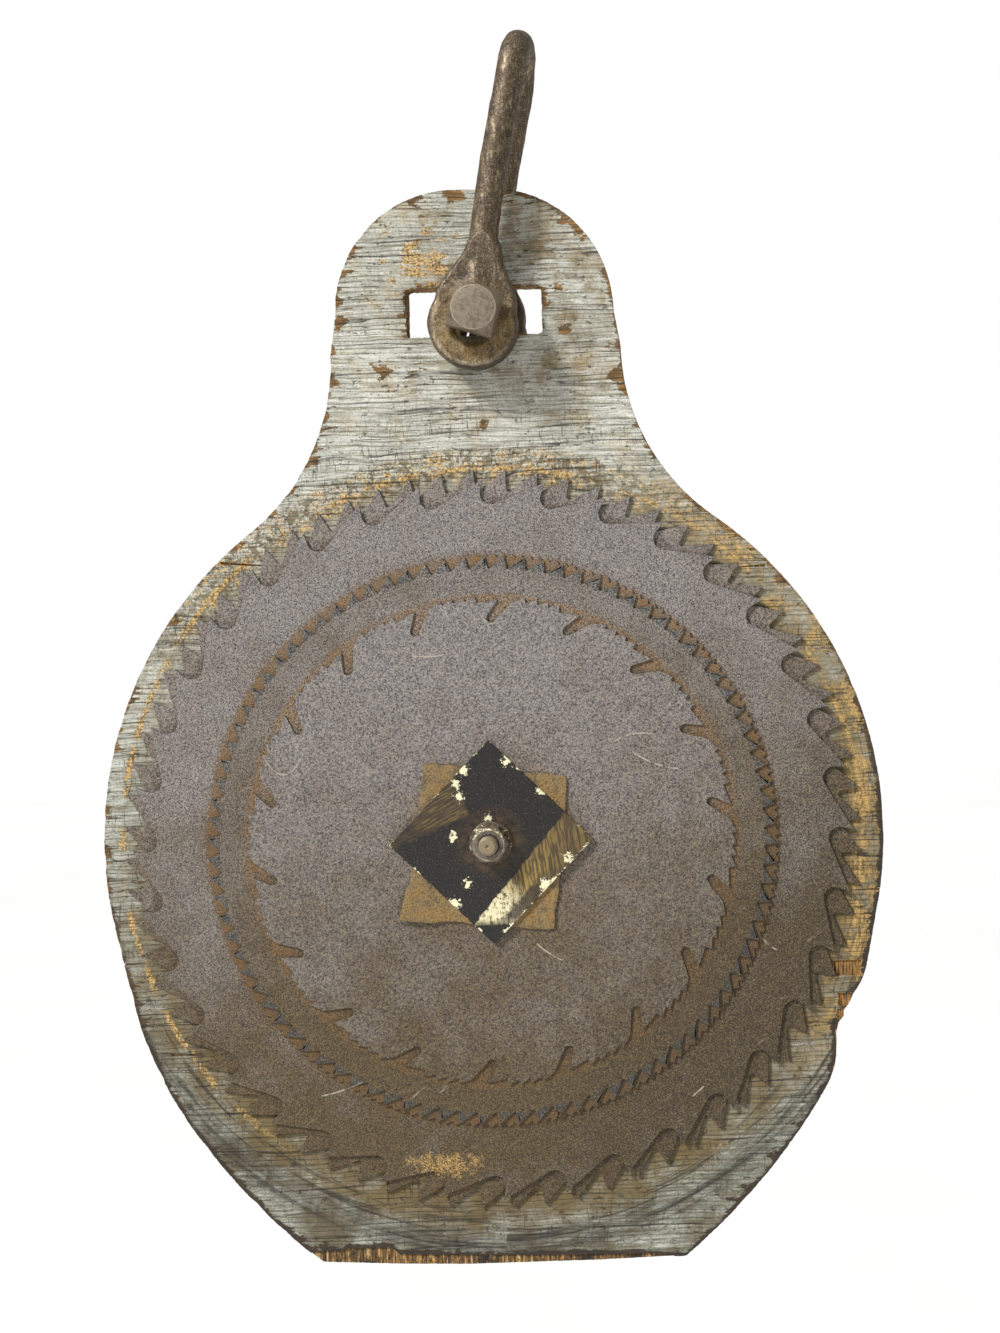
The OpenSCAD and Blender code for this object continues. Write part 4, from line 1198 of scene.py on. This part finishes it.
class SIGN_OT_blades(bpy.types.Operator):
    """Build the five circular saw blades with worn and filed teeth"""
    bl_idname = "sign.build_blades"
    bl_label = "Build Saw Blades"

    def execute(self, context):
        blades, colours = context.scene.sign_blades, context.scene.sign_finish
        chance = random.Random(11)
        rear, front, fine, crosscut, combo = (
            (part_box(node)[1].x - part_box(node)[0].x) / 2 for node in (
                "rear_rip_blade", "front_rip_blade", "fine_tooth_blade", "crosscut_blade",
                "combination_blade"))
        # Piece, node, slot, hole, clockwise outline and finish
        outlines = (
            ("rear_rip_saw", "rear_rip_blade", "rip_blade_steel", blades.rip_hole,
             hooked_teeth(rear, blades.rear_rip_teeth, blades.rear_rip_depth,
                          blades.rear_rip_gullet, lead=blades.rear_rip_gullet + 1.2 * MM,
                          first=5, last=125, steps=7, turned=3.7, chance=chance),
             saw_steel(colours, "rear_rip_saw_steel", rear / MM, 12.0, front / MM,
                       blades.front_rip_depth / MM, stain=0.1, blue=0.1, warm=0.2)),
            ("front_rip_saw", "front_rip_blade", "rip_blade_steel", blades.rip_hole,
             hooked_teeth(front, blades.front_rip_teeth, blades.front_rip_depth,
                          blades.front_rip_gullet, lead=blades.front_rip_gullet - 2 * MM,
                          first=-12, last=117, steps=14, turned=0.1, chance=chance),
             saw_steel(colours, "front_rip_saw_steel", front / MM, 12.0, fine / MM,
                       blades.fine_depth / MM, stain=0.3, blue=0.15, warm=0.0)),
            ("fine_tooth_saw", "fine_tooth_blade", "crosscut_blade_steel", blades.small_hole,
             notched_teeth(fine, blades.fine_teeth, blades.fine_depth, turned=0.4,
                           chance=chance),
             saw_steel(colours, "fine_tooth_saw_steel", fine / MM, 4.0, crosscut / MM,
                       blades.crosscut_depth / MM, stain=0.8, blue=0.0, warm=0.45)),
            ("crosscut_saw", "crosscut_blade", "crosscut_blade_steel", blades.small_hole,
             hooked_teeth(crosscut, blades.crosscut_teeth, blades.crosscut_depth,
                          round_radius=1.3 * MM, lead=3.3 * MM, first=10, last=128, steps=4,
                          turned=0.3, chance=chance),
             saw_steel(colours, "crosscut_saw_steel", crosscut / MM, 10.0, combo / MM,
                       blades.combination_depth / MM, stain=0.75, blue=0.9, warm=0.25)),
            ("combination_saw", "combination_blade", "combination_blade_steel", blades.small_hole,
             grouped_teeth(combo, blades.combination_groups, blades.combination_depth,
                           blades.combination_gullet, turned=3.15, chance=chance),
             saw_steel(colours, "combination_saw_steel", combo / MM, 5.0, 70.0, 10.0,
                       stain=0.15, blue=0.15, warm=-0.1)),
        )
        for name, node, slot, hole, teeth, finish in outlines:
            low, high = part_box(node)
            # Clockwise teeth are reversed so that the steel lies to the left of the outline
            loop = [STACK + point for point in reversed(teeth)]
            ring = circle(STACK, hole / 2, 72, clockwise=True)
            insets = None
            if node == "crosscut_blade":
                # Every other tooth is filed on its front face
                per_tooth = len(loop) // blades.crosscut_teeth
                insets = [1.3 * MM if (i // per_tooth) % 2 else 0.2 * MM for i in range(len(loop))]
            bm = slab([(loop, inward(loop)), (ring, inward(ring))], low.y, high.y, blades.bevel,
                      front_insets=insets)
            new_piece(name, bm, finish, slot, "board", node)
        return {"FINISHED"}


class SIGN_OT_pad(bpy.types.Operator):
    """Build the leather pad with its curled corner"""
    bl_idname = "sign.build_pad"
    bl_label = "Build Leather Pad"

    def execute(self, context):
        hardware, colours = context.scene.sign_hardware, context.scene.sign_finish
        low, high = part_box("leather_pad")
        half_w, half_h, cells = hardware.pad_width / 2, hardware.pad_height / 2, 40
        turned = Matrix.Rotation(-hardware.pad_turn, 2)
        # How far each corner has stretched, in millimetres: lower left, lower right, upper left
        # and upper right
        stretched = [Vector(corner) * MM
                     for corner in ((-4.5, -1), (-2, -1.5), (-1.3, 0), (-1.8, -0.8))]
        bm = bmesh.new()
        grid = []
        for i in range(cells + 1):
            row = []
            for j in range(cells + 1):
                u, v = 2 * i / cells - 1, 2 * j / cells - 1
                shares = ((1 - u) * (1 - v), (1 + u) * (1 - v),
                          (1 - u) * (1 + v), (1 + u) * (1 + v))
                flat = Vector((u * half_w, v * half_h - hardware.pad_drop))
                for share, out in zip(shares, stretched):
                    flat += share / 4 * out
                frayed = max(abs(u), abs(v)) ** 6 * MM
                flat.x += frayed * (2.4 * ripple(u, v, 0.45, 4) + 1.2 * ripple(u, v, 0.1, 5))
                flat.y += frayed * (2.4 * ripple(u, v, 0.45, 14) + 1.2 * ripple(u, v, 0.1, 15))
                rounded = max(0.0, abs(u) + abs(v) - 1.92)
                flat -= Vector((u, v)) * rounded * 12 * MM
                curl = max(0.0, (-u - v - 1.25) / 0.75) ** 1.6
                flat += Vector((-5.5, -2)) * MM * curl
                flat = turned @ flat
                lift = hardware.pad_curl * curl
                if abs(u) + abs(v) > 1.2:
                    lift += 0.25 * MM * ripple(u, v, 0.3, 8)
                row.append(bm.verts.new((STACK.x + flat.x, (low.y + high.y) / 2 - lift,
                                         STACK.y + flat.y)))
            grid.append(row)
        for i in range(cells):
            for j in range(cells):
                bm.faces.new((grid[i][j], grid[i + 1][j], grid[i + 1][j + 1], grid[i][j + 1]))
        pad = new_piece("leather_washer_pad", bm, belt_leather(colours), "pad_leather", "board",
                        "leather_pad", smooth_angle=60)
        solid = pad.modifiers.new("Thickness", "SOLIDIFY")
        solid.thickness = (high.y - low.y) * 0.96
        solid.offset = 0.0
        rounded = pad.modifiers.new("Rounded rim", "BEVEL")
        rounded.width = 0.5 * MM
        rounded.segments = 2
        return {"FINISHED"}


class SIGN_OT_plate(bpy.types.Operator):
    """Build the square clamp plate"""
    bl_idname = "sign.build_plate"
    bl_label = "Build Clamp Plate"

    def execute(self, context):
        hardware, colours = context.scene.sign_hardware, context.scene.sign_finish
        low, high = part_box("clamp_plate")
        reach = hardware.plate_width / math.sqrt(2)
        loop = split_long([STACK + polar(reach, -90 * k) for k in range(4)], 2 * MM)
        # Towards the middle, so that the insets of neighbouring sides meet at the corners
        into = [(STACK - point) / (hardware.plate_width / 2) for point in loop]
        worn = [p + d * 0.5 * MM * max(0.0, ripple(p.x, p.y, 6 * MM, 2))
                for p, d in zip(loop, into)]
        hole = circle(STACK, hardware.bolt_diameter / 2, 32, clockwise=True)
        bm = slab([(worn, into), (hole, inward(hole))], low.y, high.y, bevel=0.45 * MM,
                  rings=(1.5 * MM, 5 * MM))
        new_piece("square_clamp_plate", bm, chipped_black_paint(colours), "plate_paint", "board",
                  "clamp_plate")
        return {"FINISHED"}


class SIGN_OT_centre_bolt(bpy.types.Operator):
    """Build the centre bolt, its nut and washers and finish the hidden bushes"""
    bl_idname = "sign.build_centre_bolt"
    bl_label = "Build Centre Bolt"

    def execute(self, context):
        hardware, colours = context.scene.sign_hardware, context.scene.sign_finish
        face = 0.47 * hardware.nut_width / MM
        finish = fastener_steel(colours, "rusted_nut_steel", colours.bolt_grey, STACK, face)
        washer_finish = fastener_steel(colours, "rusted_washer_steel", colours.iron_dark, STACK,
                                       face)
        radius = hardware.bolt_diameter / 2
        for node, name in (("front_washer", "front_flat_washer"),
                           ("back_washer", "back_flat_washer")):
            low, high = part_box(node)
            out = (high.x - low.x) / 2
            rows = ((low.y, radius + 0.5 * MM), (low.y, out - 0.8 * MM), (low.y + 0.6 * MM, out),
                    (high.y - 0.3 * MM, out), (high.y, out - 0.3 * MM),
                    (high.y, radius + 0.5 * MM))
            new_piece(name, skin(rings_y(STACK, rows, 64), closed=True), washer_finish,
                      "fastener_steel", "board", node, smooth_angle=40)

        low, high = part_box("centre_nut")
        wide, steps = hardware.nut_width, 72
        rows = ((low.y + 1.2 * MM, radius - 0.4 * MM), (low.y, radius + 0.7 * MM),
                (low.y, 0.47 * wide), (chamfer(low.y, wide, 6, 1), flats(wide, 6)),
                (high.y - 0.4 * MM, flats(wide, 6)), (high.y, 0.48 * wide),
                (high.y, radius - 0.4 * MM))
        new_piece("hexagon_nut", skin(rings_y(STACK, rows, steps), closed=True), finish,
                  "fastener_steel", "board", "centre_nut", smooth_angle=22)

        end, head_end = BOLT_LOW.y, BOLT_HIGH.y
        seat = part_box("back_washer")[1].y
        wide = hardware.head_width
        tip = ((end + 1.5 * MM, 0.5 * MM), (end + 0.4 * MM, 1.4 * MM), (end, 1.9 * MM),
               (end, radius - 2.2 * MM), (end + 1.2 * MM, radius - 0.9 * MM))
        shank_and_head = ((high.y + 0.5 * MM, radius), (seat, radius), (seat, 0.48 * wide),
                          (seat + 0.3 * MM, flats(wide, 6)),
                          (chamfer(head_end, wide, 6, -1), flats(wide, 6)),
                          (head_end, 0.47 * wide))
        rings = rings_y(STACK, tip, steps)
        rings += thread(STACK, end + 2 * MM, high.y, radius, hardware.bolt_pitch, steps)
        rings += rings_y(STACK, shank_and_head, steps)
        new_piece("centre_carriage_bolt", skin(rings), finish, "fastener_steel", "board",
                  "centre_bolt", smooth_angle=30)
        for node in ("rip_blade_bush", "small_blade_bush"):
            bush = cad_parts[node]
            bush.data.materials.clear()
            bush.data.materials.append(finish)
        return {"FINISHED"}


class SIGN_OT_shackle(bpy.types.Operator):
    """Build the forged shackle and its square-headed bolt, nut and split pin"""
    bl_idname = "sign.build_shackle"
    bl_label = "Build Shackle"

    def execute(self, context):
        shackle, colours = context.scene.sign_shackle, context.scene.sign_finish
        low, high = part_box("shackle_nut")
        pin = Vector((PIN_X, (low.z + high.z) / 2))
        eye = pin - Vector((shackle.eye_side, shackle.eye_drop))
        bolt_steel = fastener_steel(colours, "worn_bolt_steel", colours.bolt_face, pin,
                                    0.47 * shackle.head_width / MM)
        self.build_bow(shackle, forged_iron(colours, eye), pin)
        self.build_bolt(shackle, bolt_steel, pin)
        self.build_nut(shackle, bolt_steel, pin)
        self.build_split_pin(bolt_steel, pin)
        return {"FINISHED"}

    def crook_at(self, shackle, height):
        """How far the bow's middle line leaves the straight at a height above the bolt."""
        share = height / shackle.reach
        bowed = shackle.crook * math.sin(math.pi * min(1.0, share * 1.15))
        return 1.2 * MM * max(0.0, share - 0.6) - bowed

    def build_bow(self, shackle, finish, pin):
        """Two eyes, two legs and a bow, fused as a smith leaves them."""
        rod, leg = shackle.rod / 2, shackle.leg_spacing / 2
        foot, swell, taper = 18 * MM, 4.5 * MM, 34 * MM
        bow_z = shackle.reach + rod - leg
        side_x = -shackle.eye_side
        heights = [foot + 8 * MM * i for i in range(23)]
        heights = [z for z in heights if z < bow_z]
        rise = [Vector((side_x + self.crook_at(shackle, z), -leg, z)) for z in heights]
        over = []
        for i in range(25):
            a = math.pi * i / 24
            z = bow_z + leg * math.sin(a)
            over.append(Vector((side_x + self.crook_at(shackle, z), -leg * math.cos(a), z)))
        fall = [Vector((p.x, leg, p.z)) for p in reversed(rise)]
        path = rise + over + fall
        radii = [rod + swell * max(0.0, 1 - (p.z - foot) / taper) for p in path]
        parts = [tube(path, radii, 32)]
        seat = shackle.bolt_diameter / 2 + 0.4 * MM
        # Height above the bolt and half width where an eye narrows to its leg, in millimetres
        shoulders = ((8, 33), (16, 29), (25, 24.5), (34, 20), (44, 16.2), (54, 13.6))
        outer = self.outline_round(
            ((side_x, -shackle.eye_drop, shackle.eye_radius),
             (side_x, 0.0, shackle.eye_radius - 3 * MM),
             *((side_x, rise * MM, wide * MM) for rise, wide in shoulders)), 128)
        inner = self.outline_round(((0.0, 0.0, seat),
                                    (side_x, -shackle.eye_drop, shackle.eye_hole)), 64)[::-1]
        for middle in (-leg, leg):
            front, back = middle - shackle.eye_thickness / 2, middle + shackle.eye_thickness / 2
            parts.append(slab([(outer, inward(outer)), (inner, inward(inner))], front, back,
                              bevel=3.2 * MM))
        joined = bmesh.new()
        for part in parts:
            mesh = mesh_of("part", part)
            joined.from_mesh(mesh)
            bpy.data.meshes.remove(mesh)
        place = Matrix.Translation((pin.x, 0, pin.y)) @ Matrix.Rotation(shackle.lean, 4, "Y")
        joined.transform(place)
        bow = new_piece("forged_shackle", joined, finish, "forged_iron", "shackle", "shackle",
                        smooth_angle=180)
        fused = bow.modifiers.new("Fused", "REMESH")
        fused.mode = "VOXEL"
        fused.voxel_size = 1.3 * MM
        fused.use_smooth_shade = True
        soft = bow.modifiers.new("Soft", "SMOOTH")
        soft.factor = 0.5
        soft.iterations = 3
        apply_modifiers(bow)
        vertices = bow.data.vertices
        outward = [vertex.normal.copy() for vertex in vertices]
        for vertex, normal in zip(vertices, outward):
            hammered = noise.noise(vertex.co / (11 * MM)) * 0.5 * MM
            hammered += noise.noise(vertex.co / (3.5 * MM)) * 0.16 * MM
            vertex.co += normal * (hammered - 0.35 * MM)
        bow.data.materials.clear()
        bow.data.materials.append(finish)

    def outline_round(self, discs, steps):
        """Anticlockwise outline of overlapping discs (x, z, radius), seen from the first one."""
        x, z, _ = discs[0]
        loop = []
        for i in range(steps):
            angle = 2 * math.pi * i / steps
            ray = Vector((math.cos(angle), math.sin(angle)))
            reach = 0.0
            for cx, cz, radius in discs:
                to = Vector((cx - x, cz - z))
                mid = to.dot(ray)
                off = to.length_squared - mid * mid
                if off < radius * radius:
                    reach = max(reach, mid + math.sqrt(radius * radius - off))
            loop.append(Vector((x, z)) + ray * reach)
        return loop

    def build_bolt(self, shackle, finish, pin):
        """Square-headed bolt with a threaded end."""
        low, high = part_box("shackle_bolt")
        nut_low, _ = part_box("shackle_nut")
        radius, wide = shackle.bolt_diameter / 2, shackle.head_width
        back = low.y + shackle.head_thickness
        steps, turned = 96, shackle.head_turn
        head_and_shank = (
            (low.y, 2 * MM), (low.y, 0.36 * wide), (low.y + 0.5 * MM, 0.47 * wide),
            (chamfer(low.y + 0.6 * MM, wide, 4, 1), flats(wide, 4, 0.3 * MM)),
            (back - 0.5 * MM, flats(wide, 4, 0.2 * MM)), (back, flats(wide, 4, 0.9 * MM)),
            (back, radius + 1.2 * MM), (back + 1.2 * MM, radius), (nut_low.y - 12 * MM, radius),
            (nut_low.y - 11 * MM, radius - 0.3 * MM))
        tip = ((high.y - 0.4 * MM, radius - 2.4 * MM), (high.y, radius - 3.2 * MM))
        rings = rings_y(pin, head_and_shank, steps, turned)
        rings += thread(pin, nut_low.y - 10 * MM, high.y - 2.5 * MM, radius - 0.1 * MM,
                        shackle.bolt_pitch, steps, turned)
        rings += rings_y(pin, tip, steps, turned)
        new_piece("square_headed_bolt", skin(rings), finish, "forged_iron", "bolt", "shackle_bolt",
                  smooth_angle=24)

    def build_nut(self, shackle, finish, pin):
        """Square nut behind the rear eye."""
        low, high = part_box("shackle_nut")
        radius, wide = shackle.bolt_diameter / 2, shackle.head_width
        sides = flats(wide, 4, 0.3 * MM)
        rows = ((low.y, radius - 0.5 * MM), (low.y, 0.48 * wide), (low.y + 0.5 * MM, sides),
                (chamfer(high.y - 0.4 * MM, wide, 4, -1), sides), (high.y, 0.46 * wide),
                (high.y, radius + 0.6 * MM), (high.y - 1.2 * MM, radius - 0.5 * MM))
        new_piece("square_nut", skin(rings_y(pin, rows, 96, shackle.nut_turn), closed=True),
                  finish, "forged_iron", "bolt", "shackle_nut", smooth_angle=24)

    def build_split_pin(self, finish, pin):
        """Split pin through the bolt's end: an eye, two legs side by side and spread tails."""
        low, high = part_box("split_pin")
        wire, apart, eye = 1.15 * MM, 1.2 * MM, 4.6 * MM
        leg = [(-5 * MM, low.z + 1.8 * MM), (-3.4 * MM, low.z + 3.2 * MM),
               (-1.7 * MM, low.z + 5.2 * MM), (-apart, low.z + 8 * MM), (-apart, pin.y),
               (-apart, high.z - 2.2 * eye)]
        turns = [math.radians(-60 - 300 * i / 16) for i in range(17)]
        loop = [(0.98 * eye * math.sin(a), high.z - wire - eye + eye * math.cos(a))
                for a in turns]
        route = leg + loop + [(-x, z) for x, z in reversed(leg)]
        path = [Vector((PIN_X + x, (low.y + high.y) / 2, z)) for x, z in route]
        new_piece("split_pin_wire", tube(path, [wire] * len(path), 10), finish, "forged_iron",
                  "bolt", "split_pin", smooth_angle=50)


class SIGN_OT_stage(bpy.types.Operator):
    """Set up the camera, the pale floor and the soft studio light"""
    bl_idname = "sign.build_stage"
    bl_label = "Build Stage"

    def execute(self, context):
        stage, scene = context.scene.sign_stage, context.scene
        camera = put("Photo_camera", bpy.data.cameras.new("Photo_camera"))
        camera.data.lens = stage.lens
        camera.data.shift_x = stage.shift_x
        camera.data.shift_y = stage.shift_y
        camera.matrix_world = (
            Matrix.Translation((stage.camera_x, stage.camera_y, stage.camera_z))
            @ Matrix.Rotation(math.radians(90), 4, "X") @ Matrix.Rotation(stage.roll, 4, "Z"))
        scene.camera = camera

        bm = bmesh.new()
        bmesh.ops.create_grid(bm, x_segments=8, y_segments=8, size=14)
        floor = put("Studio_floor", mesh_of("Studio_floor", bm, closed=False))
        floor.location.z = -stage.floor_drop
        floor.data.materials.append(plain_floor())

        key = put("Key_light", bpy.data.lights.new("Key_light", "SUN"))
        key.data.energy = stage.key_power
        key.data.angle = stage.key_softness
        key.location = (-1.5, -1.7, 2.0)
        # It shines to the right, backwards and down
        shining = Vector((0.6, 0.62, -0.72))
        key.rotation_euler = shining.to_track_quat("-Z", "Y").to_euler()

        world = bpy.data.worlds.new("Pale_surroundings")
        world.use_nodes = True
        scene.world = world
        tree = world.node_tree
        add = partial(add_node, tree)
        seen = add("LightPath", out=0)
        strength = add("Math", [seen, 1 - stage.fill, stage.fill], operation="MULTIPLY_ADD")
        background = tree.nodes["Background"]
        background.inputs["Color"].default_value = (1.0, 1.0, 1.0, 1.0)
        tree.links.new(strength, background.inputs["Strength"])
        scene.view_settings.view_transform = "Standard"
        return {"FINISHED"}


class SIGN_PT_panel(bpy.types.Panel):
    """Lists the sign's pieces and their settings"""
    bl_idname = "SIGN_PT_panel"
    bl_label = "Saw Blade Sign"
    bl_space_type = "VIEW_3D"
    bl_region_type = "UI"
    bl_category = "Sign"

    def draw(self, context):
        for title, group, operators in SECTIONS:
            box = self.layout.box()
            box.label(text=title)
            settings = getattr(context.scene, group)
            for name in settings.__annotations__:
                box.prop(settings, name)
            for operator in operators:
                box.operator(operator.bl_idname)


# Each section of the panel: its title, its settings and its operators, in the order they run
SECTIONS = (
    ("Board", "sign_board", (SIGN_OT_board,)),
    ("Saw blades", "sign_blades", (SIGN_OT_blades,)),
    ("Plate, pad and bolt", "sign_hardware", (SIGN_OT_pad, SIGN_OT_plate, SIGN_OT_centre_bolt)),
    ("Shackle", "sign_shackle", (SIGN_OT_shackle,)),
    ("Colours", "sign_finish", ()),
    ("Stage", "sign_stage", (SIGN_OT_stage,)),
)
GROUPS = {
    "sign_board": BoardSettings,
    "sign_blades": BladeSettings,
    "sign_hardware": HardwareSettings,
    "sign_shackle": ShackleSettings,
    "sign_finish": FinishSettings,
    "sign_stage": StageSettings,
}
CLASSES = (*GROUPS.values(), SIGN_OT_board, SIGN_OT_blades, SIGN_OT_pad, SIGN_OT_plate,
           SIGN_OT_centre_bolt, SIGN_OT_shackle, SIGN_OT_stage, SIGN_PT_panel)


def register():
    for cls in CLASSES:
        bpy.utils.register_class(cls)
    for name, group in GROUPS.items():
        setattr(bpy.types.Scene, name, PointerProperty(type=group))


def unregister():
    for name in GROUPS:
        delattr(bpy.types.Scene, name)
    for cls in reversed(CLASSES):
        bpy.utils.unregister_class(cls)


def main():
    """Builds the whole sign and its stage."""
    register()
    for _, _, operators in SECTIONS:
        for operator in operators:
            group, name = operator.bl_idname.split(".")
            getattr(getattr(bpy.ops, group), name)()


if __name__ == "__main__":
    main()
